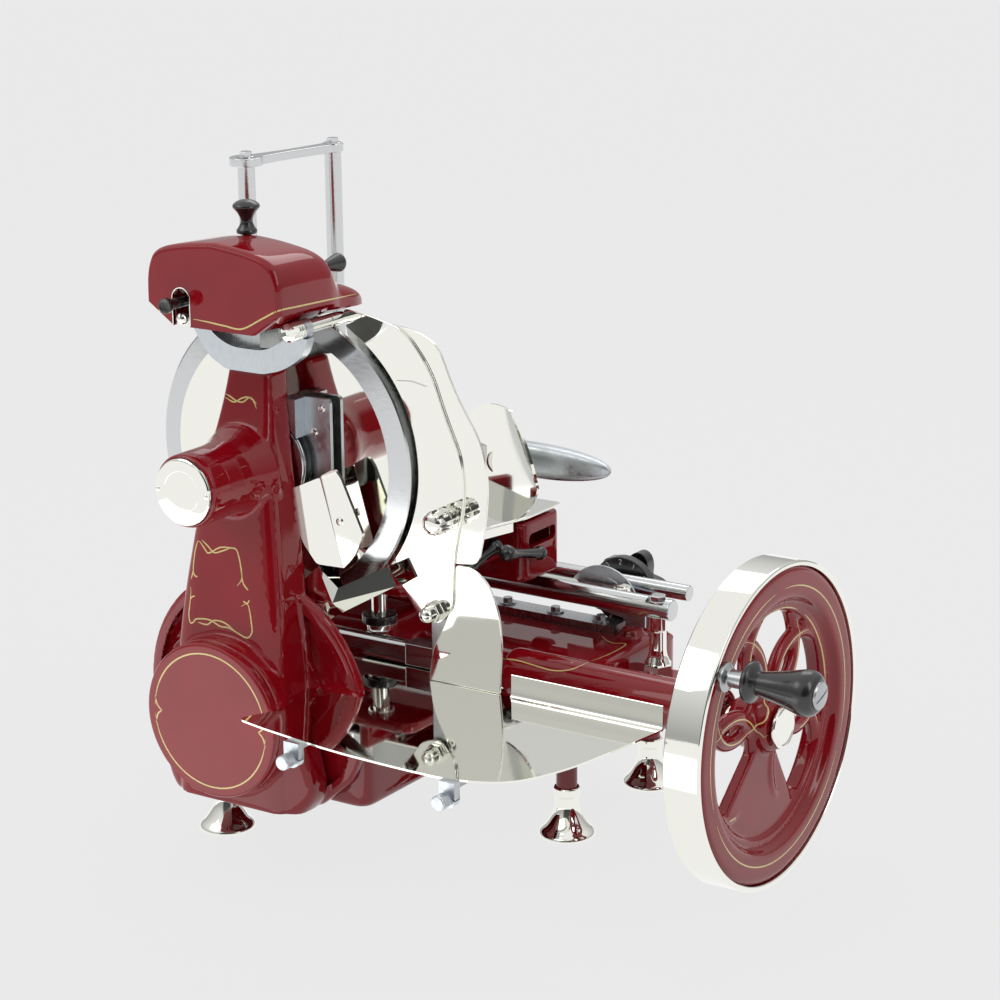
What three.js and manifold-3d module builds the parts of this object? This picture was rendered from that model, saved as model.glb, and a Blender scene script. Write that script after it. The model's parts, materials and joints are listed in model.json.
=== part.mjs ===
// Hand-cranked flywheel meat slicer, in millimetres, +Z up
import * as THREE from 'three'
import { mergeVertices } from 'three/addons/utils/BufferGeometryUtils.js'
import Module from 'manifold-3d'

const wasm = await Module()
wasm.setup()

// Clearances and smoothness
const seam = 0.3
const running = 0.5
const bondGap = 0.3
const nick = 0.05
const over = 1
const sink = 1
const chamfer = 1
const fine = 36
const medium = 20
const coarse = 12
const few = 8
const round = 48
const weldShare = 1e-6

// Blade, on an axis along Y, cutting edge in the plane Y = 0
const blade = {
  z: 434, radius: 160, bevel: 24, edge: 0.8, body: 6, hub: 42, hubFront: 11, hubShare: 0.6, clearance: 2.5,
  seatDrop: 57, neckDrop: 37,
}
const crown = blade.z + blade.radius
const headSeat = crown - blade.seatDrop

// Blade shaft, its bearing and its sprocket
const spindle = { radius: 11, front: -120 }
const bearing = { radius: 48, front: -32, band: -24, back: -13, lip: 2.5 }
const chain = {
  front: -75, back: -67, rim: 4, big: 49, small: 22, teethBig: 16, teethSmall: 6, tooth: 4, swingShare: 0.2,
  roomOut: 9, roomAlong: 4,
}

// Drive axis and flywheel axis, crossing inside the base
const drive = { z: 184, front: -112, radius: 10, gearGap: 12 }
const bevel = {
  pitch: 38, face: 15, teeth: 12, depth: 4, hubShare: 0.55, smallHubShare: 0.5, smallHubLong: 12,
  tipShare: 0.25, rootShare: 0.75, landShares: [0.35, -0.35, -0.05, 0.05],
}
const wheel = {
  y: 154, front: 504, deep: 40, radius: 171, band: 6, rimWide: 55, rimSlope: 14, rimInset: 1, rimBack: 2,
  webFront: 14, webBack: 30, hubRadius: 30, hubFront: 4, hubBack: 52, hubBackShare: 0.7, hubFaceShare: 0.86,
  bandEdge: 2.5, bandBack: 1.5, turn: -10, cutDeep: 30,
}
const loop = {
  centreShare: 0.4561, outerShare: 0.3509, innerShare: 0.2573, taper: 3, reachEachWay: 2, pitch: 60, sides: 16,
  lobeHalf: 40, lobeShare: 0.8, lobeSink: 6,
}
const axle = { radius: 12, start: 22, flange: 23, flangeNeck: 17, flangeEdge: 22, tip: 8, rise: 5, edge: 8, dome: 10 }

// Crank pin and grip
const crank = {
  rimIn: 22, angle: 143.4, bossRadius: 15, bossLength: 4, pinRadius: 7, neckRadius: 9, taper: 3, neckEnd: 2,
  neckStep: 0.5, standoff: 23, gripLength: 79, flange: 21, flangeLow: 4, flangeHigh: 9, neck: 12, neckHigh: 14,
  belly: 23, bellyFull: 14, bellyStart: 30, bellyEase: 3, capRadius: 14, cap: 3, capDome: 1,
}

// Column casting: height, half width, front and back of each section
const columnSections = [
  [100, 70, -114, -54],
  [190, 71, -116, -54],
  [250, 64, -112, -46],
  [300, 58, -106, -42],
  [350, 52, -99, -38],
  [434, 42, -86, -34],
  [headSeat - blade.neckDrop, 31, -68, -27],
  [headSeat, 26, -60, -22],
]
const cavitySections = [
  [120, 60, -81, -60],
  [185, 63, -81, -60],
  [250, 54, -81, -58],
  [350, 42, -81, -54],
  [434, 33, -80, -48],
  [468, 25, -76, -46],
]
const skirtSections = [
  [84, 84, -110, -56],
  [116, 96, -108, -56],
  [200, 74, -110, -56],
]
const squareness = 3.4
const barrel = {
  radius: 38, front: -166, edge: 2, straight: -110, flare: 8, back: -70, bore: 15, boreRun: 20, seatWall: 3,
  seat: 4,
}
const drum = {
  radius: 84, front: -130, edge: 1, edgeBack: 2, straight: -116, taper: 12, back: -92, inner: 76, step: -104,
  well: 64, floor: -62,
}
const flange = { radius: 139, front: -66, back: -52, low: 84, lowZ: 84, sideX: 121, sideZ: 116 }
const cover = { radius: 83, front: -140, edge: 4, back: -130, spigot: 75.5, spigotBack: -124 }
const cap = { gap: 0.5, front: -169, dome: 1.6, domeShare: 0.6, shoulderShare: 0.7, edge: 1, back: -162.3 }

// Base casting
const base = {
  left: -132, right: 258, mid: 132, front: -52, far: 385, step: 150, low: 82, topFront: 180, topBack: 188,
  wall: 8, corner: 34, edge: 7, floorDrop: 9, rearY: 356, rearTop: 174, hollowFar: 346,
}
const ledge = { left: 232, right: 314, front: 222, back: 342, low: 118, top: 150, corner: 26, edge: 5 }
const nose = { radius: 27, end: 440, start: 180, bore: 13, tunnel: 20, channelLow: 160 }
const gearHouse = { left: -56, right: 58, front: 92, back: 216, top: 236, inTop: 229, corner: 20, edge: 6, wall: 7 }
const boss = { x: 232, y: 316, top: 197, radius: 13 }
const feet = [[-95, -1], [233, 177], [233, 355], [-95, 355]]
const foot = {
  leg: 11.5, legEnd: 50, collar: 14.5, collarTop: 56, collarLow: 45, collarEdge: 47.5, bell: 31, waist: 13, sole: 5,
  flareShare: 0.66, flareTop: 15, waistLow: 32.5,
}

// Slide rods on the base
const rod = {
  y: 282, z: 238, radius: 12, left: -290, right: 304, edge: 1.5, flat: 274, flatEnd: 296, flatDepth: 5, flatWide: 20,
}
const posts = [{ x: 285, share: 1 }, { x: -110, share: 0.4 }]
const post = {
  hex: 17, hexShare: 0.82, hexTop: 26, shaft: 9.5, neck: 13, neckHigh: 5, neckEnd: 8, saddle: 4, washer: 10,
  washerHigh: 2.2, washerSink: 0.5, head: 9, headLow: 2, headTop: 6, reach: 40, seatGap: 0.02,
}
const track = {
  left: 30, right: 214, front: 306, back: 332, top: 197, boltX: [66, 130, 190], bolt: 6, boltHigh: 7, washer: 10,
  washerHigh: 2,
}
const rail = {
  y: 46, z: 229, radius: 10.5, left: -104, right: 122, flat: 2, block: 13, blockEnd: 192, low: 217, armLeft: 176,
  standWide: 20, corner: 3, farCorner: 5, room: 20,
}

// Carriage that rides on the rods
const carriage = {
  left: -136, right: 150, front: 222, back: 300, low: 258, top: 327, wall: 7, corner: 14, edge: 3,
  armLeft: -128, armRight: 124, armFront: 40, armLow: 286, armTop: 298, armCorner: 20, railX: 58, railWide: 12,
  railStart: 6, sunk: 3, roof: 8, room: 20,
}
const slot = { front: 234, back: 288, low: 296, high: 312, deep: 20, out: 5 }
const bush = {
  radius: 17.5, length: 40, at: [-100, 30], sides: 16, webIn: 8, webLow: 13, cutFront: 25, cutBack: 21, cutTop: 5,
}
const spool = { x: 69, y: 65, ring: 19, ringTop: 256, ringLow: 246, shaft: 8.5, collar: 14, low: 237, edge: 3 }
const reach = {
  y: 345, z: 238, radius: 9, left: -128, right: 289, edge: 1.5, lug: 15, lugAt: [-112, 96], lugWidth: 22, webLow: 6,
  webIn: 6, webOut: 8,
}
const trip = {
  left: 107, right: 226, front: 298, back: 312, low: 236, top: 243, bush: 10, bushLow: 231, bushTop: 247,
}
const lever = { ball: 9.5, hub: 8, grip: 6.5, gripEnd: 5, length: 64, rise: 16, stand: 3, pin: 5, rings: 6 }
const levers = [[150, 238, 292, -1], [124, 124, 292, 1]]

// Meat table, its feed screw and nut
const table = { top: 334, thick: 3, apron: 14, strip: 14, stripFront: 100, stripBack: 292 }
const tableOutline = [[-146, 92, 8], [118, 92, 4], [137, 172, 4], [152, 231, 3], [152, 298, 6], [-146, 298, 8]]
const apronOutline = [[113, 94, 0], [116, 94, 0], [135.4, 173, 0], [144.6, 210, 0], [141.4, 210, 0], [132, 174, 0]]
const feed = {
  x: 10, z: 311, radius: 6, start: 46, end: 318, collar: 11, collarLong: 6, sleeve: 7, wheel: 17, wheelLong: 9,
  wheelFace: 8, lugFront: 42, lugBack: 54, lug: 13, lugDrop: 2, nut: 14, nutFront: 135, nutBack: 165, nutLow: 300,
}

// Meat press on the table
const pressPosts = [[-129, 113], [-107, 239]]
const press = {
  radius: 9.5, top: 712, foot: 14, footHigh: 9, footEdge: 2, crossHigh: 721, crossBig: 18, crossSmall: 12, waist: 7,
  bolt: 7, boltHigh: 6, carrierLow: 394, carrierHigh: 426, lug: 16, linkWaist: 9,
  armStart: -122, armFront: 200, armBack: 216, armLow: 398, armHigh: 414, armEnd: 160, armRound: 5, armNick: 2,
  toothArm: 30, toothStart: -120, toothFront: 2, toothBack: 178, toothInset: 2,
}
const clamp = { left: -20, right: 104, front: 168, back: 174, low: 344, high: 414, teeth: 8, tooth: 12 }
const guardDisc = {
  x: 146, y: 182, z: 405, thick: 3, radius: 64, fold: 47, foldAngle: 32, foldTilt: 27, turn: -13.5, boss: 13,
  bossIn: 1.5, bossLeft: 3, curve: 18,
}
const handle = { end: 270, z: 406, y: 208, radius: 19, flatShare: 0.72, fullness: 2.4, rings: 8 }

// Guard plates beside the blade: x and z in shares of the blade's radius from its centre, and corner radius.
// The lower plate's heights are shares of the way from its top down to the tray
const innerGuard = [
  [0.4625, 1.0188, 6], [0.7, 0.9875, 40], [0.9375, 0.925, 30], [1.125, 0.7, 60], [1.2437, 0.3875, 60],
  [1.3562, 0.1437, 30], [1.375, -0.1125, 40], [1.2875, -0.5125, 30], [1.275, -0.8375, 8], [1.1625, -0.975, 14],
  [1.025, -0.9437, 18], [0.9125, -0.8, 6], [0.775, -0.65, 4],
]
const outerGuard = [
  [0.8, 0.95, 4], [1, 0.9375, 20], [1.175, 0.8562, 26], [1.3062, 0.55, 60], [1.4875, 0.2812, 60],
  [1.5437, 0.0312, 30], [1.525, -0.2313, 60], [1.4625, -0.525, 10], [1.25, -0.55, 4], [1.2875, -0.3625, 40],
  [1.2875, 0.0375, 60], [1.1625, 0.4125, 60], [1, 0.6937, 40],
]
const lowerGuard = [
  [1.2875, 0, 4], [1.4125, 0, 14], [1.5375, 0.1038, 18], [1.6187, 0.3517, 40], [1.6375, 0.6615, 60],
  [1.6125, 1, 2], [1.0688, 1, 2], [1.1, 0.739, 50], [1.1875, 0.5376, 10], [1.25, 0.3517, 40],
]
const guard = { inner: 6, outer: 9, thick: 3, windowShare: 0.85, lowerTopShare: 0.5538, widestShare: 1.6375 }
const bracket = {
  front: 12, back: 20, foot: 98, seat: 122, right: 206, stem: 173, low: 188, beam: 208, top: 338, nickCorner: 2,
  corner: 4, wide: 6, topCorner: 8,
}
const guardBolt = {
  xShare: 1.1375, zShare: -0.8813, radius: 9, flats: 11, nut: 9, tip: 22, tipShare: 0.6, waistShare: 0.9, tipEdge: 2,
  waist: 3, seat: 1,
}
const knob = {
  xShare: 1.2625, zShare: -0.2375, radius: 13, front: -30, back: 2, taper: 4, neck: 3, lobes: 6, scallop: 4.5,
  scallopOut: 2, scallopStart: 8, scallopEnd: 5, sides: 18,
}
const latch = { xShare: 0.9875, zShare: 0.5875, long: 19, high: 3.5, tail: 2, thick: 2, tip: 1, belly: 2 }

// Stripper plates and polished chute in front of the blade
const flapLeft = [[42, 415, 4], [72, 429, 3], [99, 337, 0], [70, 338.5, 4], [50, 366, 16]]
const flapRight = [[72, 430, 3], [90, 441, 5], [98, 432, 3], [124, 375, 4], [112, 350, 8], [97, 336, 1]]
const flap = { front: -36.7, back: -33.7, rise: 1, screw: 4, screwHigh: 2 }
const flapScrews = [[69, 376], [96, 386]]
const chute = { front: -42, back: -14, lugLeft: 58, lugRight: 84, lugLow: 284, lugHigh: 300 }
const chuteOutline = [[47, 314, 2], [49, 298, 2], [76, 276, 2], [140, 316, 3], [133, 335.5, 2], [70, 335.5, 2]]
const steelBlock = {
  left: 20, right: 72, high: 506, front: -33.7, back: -13, rest: 402, cornerLow: 4, cornerFar: 6, cornerTop: 5,
}
const blockScrews = [[62, 496], [52, 470]]

// Slice tray, drawn as x, y, corner radius
const trayOutline = [
  [74, -186, 10], [110, -194, 40], [206, -209, 120], [290, -212.5, 60], [349, -212, 40], [400, -190, 40],
  [426, -134, 30], [440, -57, 60], [449.5, 11.4, 3], [169, 11.4, 3], [169, 88, 6], [60.5, 88, 6], [60.5, -49, 4],
  [143, -49, 3], [143, -73, 3], [80, -73, 6], [80, -112, 6], [93, -118, 6], [93, -148, 8],
]
const tray = {
  top: 216, thick: 2, lipBack: 11.4, lipGap: 10, lipRight: 449, lipHigh: 24, lipThick: 2, cove: 6, coveRound: 3,
  coveDrop: 1,
}
const clips = [[158, -200], [346, -207]]
const clip = { half: 9, deep: 9, drop: 26, knob: 7.5, knobLong: 16, knobRise: 2 }
const frameBar = { left: 66, right: 356, front: -44, back: -30, low: 206, top: 214, footRight: 118, armHalf: 7 }

// Fork, tie rod and sharpener on top of the column, with heights from the crown of the blade
const fork = { front: -66, back: -54, eye: 10 }
const forkOutline = [[-70, -6, 6], [-56, 0, 6], [-36, -23, 20], [-14, -33, 20], [30, -33, 20], [58, -16, 16],
  [74, -16, 4], [84, -14, 8], [76, -34, 16], [52, -50, 20], [26, -57, 6], [-22, -57, 6], [-46, -44, 20]]
const tie = {
  x: 73, drop: 6, radius: 7, front: -86, knobRadius: 10, slotDeep: 12, slotHalf: 2, slotRun: 20, edge: 1, sides: 16,
}
const dome = {
  x: 3, drop: 5, wall: 5, under: 4, slotLeft: -46, slotRight: -25, slotTop: 23, frontRoom: -120, faceRoom: -108,
}
const domeRing = [[0, 0], [0.62, 0], [1, 0.25], [1, 0.56], [0.88, 0.77], [0.46, 0.93], [0, 1], [-0.46, 0.93],
  [-0.88, 0.77], [-1, 0.56], [-1, 0.25], [-0.62, 0]]
const domeSections = [[-116, 82, 80], [-110, 84, 83], [-46, 84, 80], [-24, 83, 70], [-10, 70, 40], [22, 64, 34],
  [46, 52, 14]]
const head = {
  left: -36, right: 14, front: -54, back: -24, high: 46, armLeft: -8, armRight: 30, armLow: 4, armHigh: 17,
  armBack: 28, armWide: 22, armDeep: 9, post: 8, postTop: 67.6, reach: 64, reachFront: -52, reachBack: -42,
  reachLow: 38, reachHigh: 52, reachStep: 8, reachEnd: 12, pinStop: 8,
}
const stone = { radius: 14, thick: 8, pin: 4.5, taper: 3, sides: 16, under: 6 }
const stones = [[-22, -18, -6, -1], [20, 7, -11, 1]]
const topKnob = {
  x: -6, y: -44, rim: 14, waist: 6.5, flange: 10.5, seat: 80.9, stem: 5, flangeHigh: 4, waistLow: 11, waistHigh: 14,
  rimLow: 22, rimHigh: 27, dome: 6, high: 34, sides: 16,
}
const coneKnob = {
  x: 58, z: 46, start: -46, small: 4.5, big: 9.5, stem: 24, end: 24, edge: 3, face: 2, front: -40, back: 40,
}
const sideKnob = {
  x: -35.5, z: 20, end: -142, radius: 8, edge: 1, flat: 5, waist: 9, neck: 5.5, stem: 4.5, inside: 20,
}

// Slice thickness control behind the rod
const control = {
  x: 192, z: 220, plateFront: 318, plateBack: 322, plateRadius: 47, plateDrop: 6, bracketBack: 330, shaft: 5.5,
  shaftGap: 2, dialFront: 362, dialBack: 374, dialRadius: 40, knobFront: 380, knobBack: 395, knobRadius: 29,
  knobWaist: 19, neck: 14, lobes: 5, points: 20, dialSides: 24,
}
const controlBracket = [[221, 197, 0], [246, 197, 0], [246, 214, 6], [206, 236, 10], [178, 232, 8], [178, 210, 8],
  [206, 206, 6], [221, 204, 4]]

// Colours
const enamel = { color: 0x8b1418, roughness: 0.18, metalness: 0 }
const chrome = { color: 0xdcdedd, roughness: 0.08, metalness: 1 }
const polished = { color: 0xc4c7c8, roughness: 0.2, metalness: 1 }
const steel = { color: 0x9ea1a3, roughness: 0.34, metalness: 1 }
const darkSteel = { color: 0x4c4e50, roughness: 0.42, metalness: 1 }
const black = { color: 0x151515, roughness: 0.35, metalness: 0 }
const abrasive = { color: 0xb9b4a8, roughness: 0.9, metalness: 0 }

const group = new THREE.Group()
group.name = 'slicer'

// Closed solid from a three.js shape, faces turned outward
function solid(geometry) {
  const bare = geometry.clone()
  bare.deleteAttribute('normal')
  bare.deleteAttribute('uv')
  const merged = mergeVertices(bare, weldShare * 100)
  const place = merged.attributes.position.array
  const index = merged.index.array
  const kept = []
  let volume = 0
  for (let i = 0; i < index.length; i += 3) {
    const [a, b, c] = [index[i], index[i + 1], index[i + 2]]
    if (a === b || b === c || c === a) continue
    kept.push(a, b, c)
    const [p, q, r] = [a, b, c].map((k) => new THREE.Vector3().fromArray(place, 3 * k))
    volume += p.dot(q.cross(r))
  }
  if (volume < 0) kept.reverse()
  const mesh = new wasm.Mesh({ numProp: 3, vertProperties: place, triVerts: Uint32Array.from(kept) })
  return new wasm.Manifold(mesh)
}

// Union and difference of several solids
function join(...parts) {
  return parts.reduce((sum, part) => sum.add(part))
}
function cut(body, ...tools) {
  return tools.reduce((left, tool) => left.subtract(tool), body)
}

// Name a finished solid and give it its colour
function node(name, body, look) {
  const mesh = body.getMesh()
  const geometry = new THREE.BufferGeometry()
  geometry.setAttribute('position', new THREE.Float32BufferAttribute(mesh.vertProperties, 3))
  geometry.setIndex(Array.from(mesh.triVerts))
  geometry.computeVertexNormals()
  const made = new THREE.Mesh(geometry, new THREE.MeshStandardMaterial(look))
  made.name = name
  group.add(made)
}

// Turn a shape drawn along +Y onto the named axis and move it
function along(geometry, axis, x, y, z) {
  if (axis === 'x') geometry.rotateZ(-Math.PI / 2)
  if (axis === 'z') geometry.rotateX(Math.PI / 2)
  return geometry.translate(x, y, z)
}

// Solid of revolution; profile is radius, height along the axis, from axis to axis
function turned(profile, axis, x, y, z, sides = medium) {
  const points = profile.map(([r, h]) => new THREE.Vector2(r, h))
  return solid(along(new THREE.LatheGeometry(points, sides), axis, x, y, z))
}

// Plain round bar between two stations on an axis
function bar(radius, from, to, axis, x, y, z, sides = medium) {
  return turned([[0, from], [radius, from], [radius, to], [0, to]], axis, x, y, z, sides)
}

// Box between corners
function block(x0, x1, y0, y1, z0, z1) {
  const box = new THREE.BoxGeometry(x1 - x0, y1 - y0, z1 - z0)
  return solid(box.translate((x0 + x1) / 2, (y0 + y1) / 2, (z0 + z1) / 2))
}

// Outline through points with rounded corners
function outline(points) {
  const shape = new THREE.Shape()
  const count = points.length
  for (let i = 0; i < count; i += 1) {
    const here = new THREE.Vector2(points[i][0], points[i][1])
    const last = points[(i + count - 1) % count]
    const next = points[(i + 1) % count]
    const back = new THREE.Vector2(last[0], last[1]).sub(here)
    const ahead = new THREE.Vector2(next[0], next[1]).sub(here)
    const round = Math.min(points[i][2] || 0, back.length() * 0.45, ahead.length() * 0.45)
    const start = here.clone().add(back.setLength(round))
    const end = here.clone().add(ahead.setLength(round))
    if (i === 0) shape.moveTo(start.x, start.y)
    else shape.lineTo(start.x, start.y)
    if (round > 0) shape.quadraticCurveTo(here.x, here.y, end.x, end.y)
  }
  shape.closePath()
  return shape
}

// Extrusion of an outline in a plane, from one station over a depth
function sheet(shape, plane, start, depth, curve = 6) {
  const body = new THREE.ExtrudeGeometry(shape, { depth, bevelEnabled: false, curveSegments: curve })
  if (plane === 'xz') body.rotateX(Math.PI / 2).translate(0, start + depth, 0)
  if (plane === 'yz') body.rotateX(Math.PI / 2).rotateZ(Math.PI / 2).translate(start, 0, 0)
  if (plane === 'xy') body.translate(0, 0, start)
  return solid(body)
}

// Upright slab with softened top and bottom edges
function pad(points, low, high, edge, steps = 2) {
  const options = {
    depth: high - low - 2 * edge, bevelEnabled: true, bevelThickness: edge, bevelSize: edge,
    bevelOffset: -edge, bevelSegments: steps, curveSegments: steps + 1,
  }
  return solid(new THREE.ExtrudeGeometry(outline(points), options).translate(0, 0, low + edge))
}

// Corners of a rectangle with one rounding
function rectangle(x0, x1, y0, y1, round) {
  return [[x0, y0, round], [x1, y0, round], [x1, y1, round], [x0, y1, round]]
}

// Circle as a shape
function circle(x, y, radius) {
  return new THREE.Shape().absarc(x, y, radius, 0, 2 * Math.PI, false)
}

// Point of a squarish ring, at an angle
function ringPoint(angle, halfX, halfY, power) {
  const c = Math.cos(angle)
  const s = Math.sin(angle)
  const size = (Math.abs(c) ** power + Math.abs(s) ** power) ** (-1 / power)
  return [c * size * halfX, s * size * halfY]
}

// Skin through upright sections of height, half width, front and back
function loft(sections, power, sides = coarse) {
  const rows = sections.length - 1
  const body = new THREE.CylinderGeometry(1, 1, 1, sides, rows)
  const place = body.attributes.position
  for (let i = 0; i < place.count; i += 1) {
    const row = Math.round((place.getY(i) + 0.5) * rows)
    const [z, half, front, back] = sections[row]
    const out = Math.hypot(place.getX(i), place.getZ(i))
    const [x, y] = ringPoint(Math.atan2(place.getZ(i), place.getX(i)), half, (back - front) / 2, power)
    const share = Math.round(out)
    place.setXYZ(i, x * share, (front + back) / 2 + y * share, z)
  }
  return solid(body)
}

// Six-sided bar along an axis
function hexagon(across, from, to, axis, x, y, z) {
  return bar(across, from, to, axis, x, y, z, 6)
}

// Base casting, open underneath, with bearing nose and gear house
function baseCasting() {
  const { left, right, mid, front, far, step, low, topFront, topBack, wall, corner, edge } = base
  const gh = gearHouse
  let body = join(
    pad(rectangle(left, mid, front, step + corner, corner / 2), low, topFront, edge),
    pad(rectangle(left, right, step, far, corner), low, topBack, edge),
    pad(rectangle(ledge.left, ledge.right, ledge.front, ledge.back, ledge.corner), ledge.low, ledge.top, ledge.edge),
    pad(rectangle(gh.left, gh.right, gh.front, gh.back, gh.corner), low, gh.top, gh.edge),
    bar(nose.radius, nose.start, nose.end, 'x', 0, wheel.y, drive.z),
    bar(nose.tunnel, gh.right - gh.wall, nose.start + wall, 'x', 0, wheel.y, drive.z),
    bar(boss.radius, low + wall, boss.top, 'z', boss.x, boss.y, 0, coarse),
  )
  const roof = base.floorDrop
  body = cut(
    body,
    pad(rectangle(left + wall, mid - wall, front + wall, step + corner, corner / 2), 0, topFront - roof, edge, 1),
    pad(rectangle(left + wall, right - wall, step + wall, base.hollowFar, corner), 0, topBack - roof, edge, 1),
    block(left - over, right + over, base.rearY, far + over, base.rearTop, topBack + over),
    pad(rectangle(gh.left + gh.wall, gh.right - gh.wall, gh.front + gh.wall, gh.back - gh.wall, gh.corner / 2),
      0, gh.inTop, gh.edge / 2, 1),
  )
  const inner = right - wall
  body = body.add(bar(nose.radius, inner - nose.radius, inner + wall, 'x', 0, wheel.y, drive.z))
  for (const [x, y] of feet) {
    const roofAt = y > step ? topBack : topFront
    body = body.add(bar(foot.leg, foot.legEnd, roofAt - wall / 2, 'z', x, y, 0, coarse))
  }
  return cut(
    body,
    bar(nose.bore, 0, nose.end + wall, 'x', 0, wheel.y, drive.z, coarse),
    block(0, nose.start, wheel.y - nose.bore, wheel.y + nose.bore, nose.channelLow, drive.z),
    bar(drive.radius + running, front - wall, gh.front + wall * 2, 'y', 0, 0, drive.z, coarse),
  )
}

// Column casting with barrel, drum and arched flange, hollow for the chain
function columnCasting() {
  const f = flange
  const arch = new THREE.Shape()
  const start = Math.atan2(f.sideZ - drive.z, f.sideX)
  arch.moveTo(f.low, f.lowZ)
  arch.lineTo(f.sideX, f.sideZ)
  arch.absarc(0, drive.z, f.radius, start, Math.PI - start, false)
  arch.lineTo(-f.low, f.lowZ)
  arch.closePath()
  const tubeProfile = [[0, barrel.front], [barrel.radius - barrel.edge, barrel.front],
    [barrel.radius, barrel.front + barrel.edge], [barrel.radius, barrel.straight],
    [barrel.radius + barrel.flare, barrel.back],
    [0, barrel.back]]
  const bowlProfile = [[0, drum.front], [drum.radius - drum.edge, drum.front],
    [drum.radius, drum.front + drum.edgeBack], [drum.radius, drum.straight], [drum.radius - drum.taper, drum.back],
    [0, drum.back]]
  const body = join(
    sheet(arch, 'xz', f.front, f.back - f.front, medium),
    loft(columnSections, squareness, medium),
    turned(tubeProfile, 'y', 0, 0, blade.z),
    turned(bowlProfile, 'y', 0, 0, drive.z, fine),
    loft(skirtSections, squareness, medium),
  )
  const st = steelBlock
  return cut(
    body,
    bar(drum.inner, drum.front - seam, drum.step, 'y', 0, 0, drive.z, fine),
    bar(drum.well, drum.step - over, drum.floor, 'y', 0, 0, drive.z, medium),
    loft(cavitySections, squareness),
    bar(chain.small + chain.roomOut, chain.front - chain.roomAlong, chain.back + chain.roomAlong, 'y', 0, 0, blade.z),
    bar(bearing.radius + bearing.lip + seam, bearing.front - seam, 0, 'y', 0, 0, blade.z),
    block(st.left - seam, st.right + seam, st.front - seam, 0, st.rest, st.high + seam),
    bar(barrel.bore, barrel.front + barrel.seat, bearing.front + barrel.boreRun, 'y', 0, 0, blade.z),
    bar(barrel.radius - barrel.seatWall, barrel.front - over, barrel.front + barrel.seat, 'y', 0, 0, blade.z),
    bar(drive.radius + running, drum.floor - over, f.back + over, 'y', 0, 0, drive.z, coarse),
  )
}

node('base_casting', baseCasting(), enamel)
node('column_casting', columnCasting(), enamel)

// Feet: bells with a collar around each leg
const footProfile = [[0, 0], [foot.bell, 0], [foot.bell, foot.sole], [foot.bell * foot.flareShare, foot.flareTop],
  [foot.waist, foot.waistLow], [foot.waist, foot.collarLow], [foot.collar, foot.collarEdge],
  [foot.collar, foot.collarTop], [foot.leg + seam, foot.collarTop], [foot.leg + seam, foot.legEnd],
  [0, foot.legEnd]]
feet.forEach(([x, y], i) => node(`foot_${i + 1}`, turned(footProfile, 'z', x, y, 0, coarse), chrome))

// Round cover over the drive sprocket, and the polished hub cap
const coverProfile = [[0, cover.front], [cover.radius - cover.edge, cover.front],
  [cover.radius, cover.front + cover.edge], [cover.radius, cover.back], [cover.spigot, cover.back],
  [cover.spigot, cover.spigotBack], [0, cover.spigotBack]]
node('drive_cover', turned(coverProfile, 'y', 0, 0, drive.z, fine), enamel)
const capOut = barrel.radius - barrel.seatWall - cap.gap
const capProfile = [[0, cap.front - cap.dome], [capOut * cap.domeShare, cap.front - cap.dome * cap.shoulderShare],
  [capOut - cap.edge, cap.front], [capOut, cap.front + cap.edge], [capOut, cap.back], [0, cap.back]]
node('hub_cap', turned(capProfile, 'y', 0, 0, blade.z), chrome)

// Toothed disc for the chain, drawn in the XZ plane
function sprocket(radius, teeth, bore, cz) {
  const shape = new THREE.Shape()
  for (let i = 0; i < teeth * 4; i += 1) {
    const reachOut = i % 4 < 2 ? radius : radius - chain.tooth
    const angle = ((i + chain.swingShare * (i % 2 ? -1 : 1)) / (teeth * 4)) * 2 * Math.PI
    const [x, z] = [Math.cos(angle) * reachOut, cz + Math.sin(angle) * reachOut]
    if (i === 0) shape.moveTo(x, z)
    else shape.lineTo(x, z)
  }
  shape.closePath()
  shape.holes.push(circle(0, cz, bore))
  return sheet(shape, 'xz', chain.front, chain.back - chain.front, few)
}

// Chain as a closed loop outside both sprockets
function chainLoop() {
  const shapeOf = (grow) => {
    const big = chain.big + grow
    const small = chain.small + grow
    const slope = Math.asin((big - small) / (blade.z - drive.z))
    const shape = new THREE.Shape()
    shape.absarc(0, drive.z, big, Math.PI - slope, 2 * Math.PI + slope, false)
    shape.absarc(0, blade.z, small, slope, Math.PI - slope, false)
    shape.closePath()
    return shape
  }
  const deep = chain.back - chain.front
  const outer = sheet(shapeOf(running + chain.rim), 'xz', chain.front, deep, few)
  return cut(outer, sheet(shapeOf(running), 'xz', chain.front - over, deep + 2 * over, few))
}

// Bevel gear with its teeth, drawn around +Y with the small end at height zero
function bevelGear(turn) {
  const { pitch, face, teeth, depth, landShares } = bevel
  const body = new THREE.CylinderGeometry(1, 1, 1, teeth * 4, 1)
  const place = body.attributes.position
  for (let i = 0; i < place.count; i += 1) {
    const out = Math.round(Math.hypot(place.getX(i), place.getZ(i)))
    const angle = Math.atan2(place.getZ(i), place.getX(i))
    const step = Math.round((angle / (2 * Math.PI)) * teeth * 4 + teeth * 4) % 4
    const high = place.getY(i) > 0 ? 0 : 1
    const full = pitch - face * high
    const tip = step < 2 ? full + depth * bevel.tipShare : full - depth * bevel.rootShare
    const angleNow = angle + landShares[step] * ((2 * Math.PI) / (teeth * 4)) + turn
    place.setXYZ(i, Math.cos(angleNow) * tip * out, -pitch + face * high, Math.sin(angleNow) * tip * out)
  }
  return body
}

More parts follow.
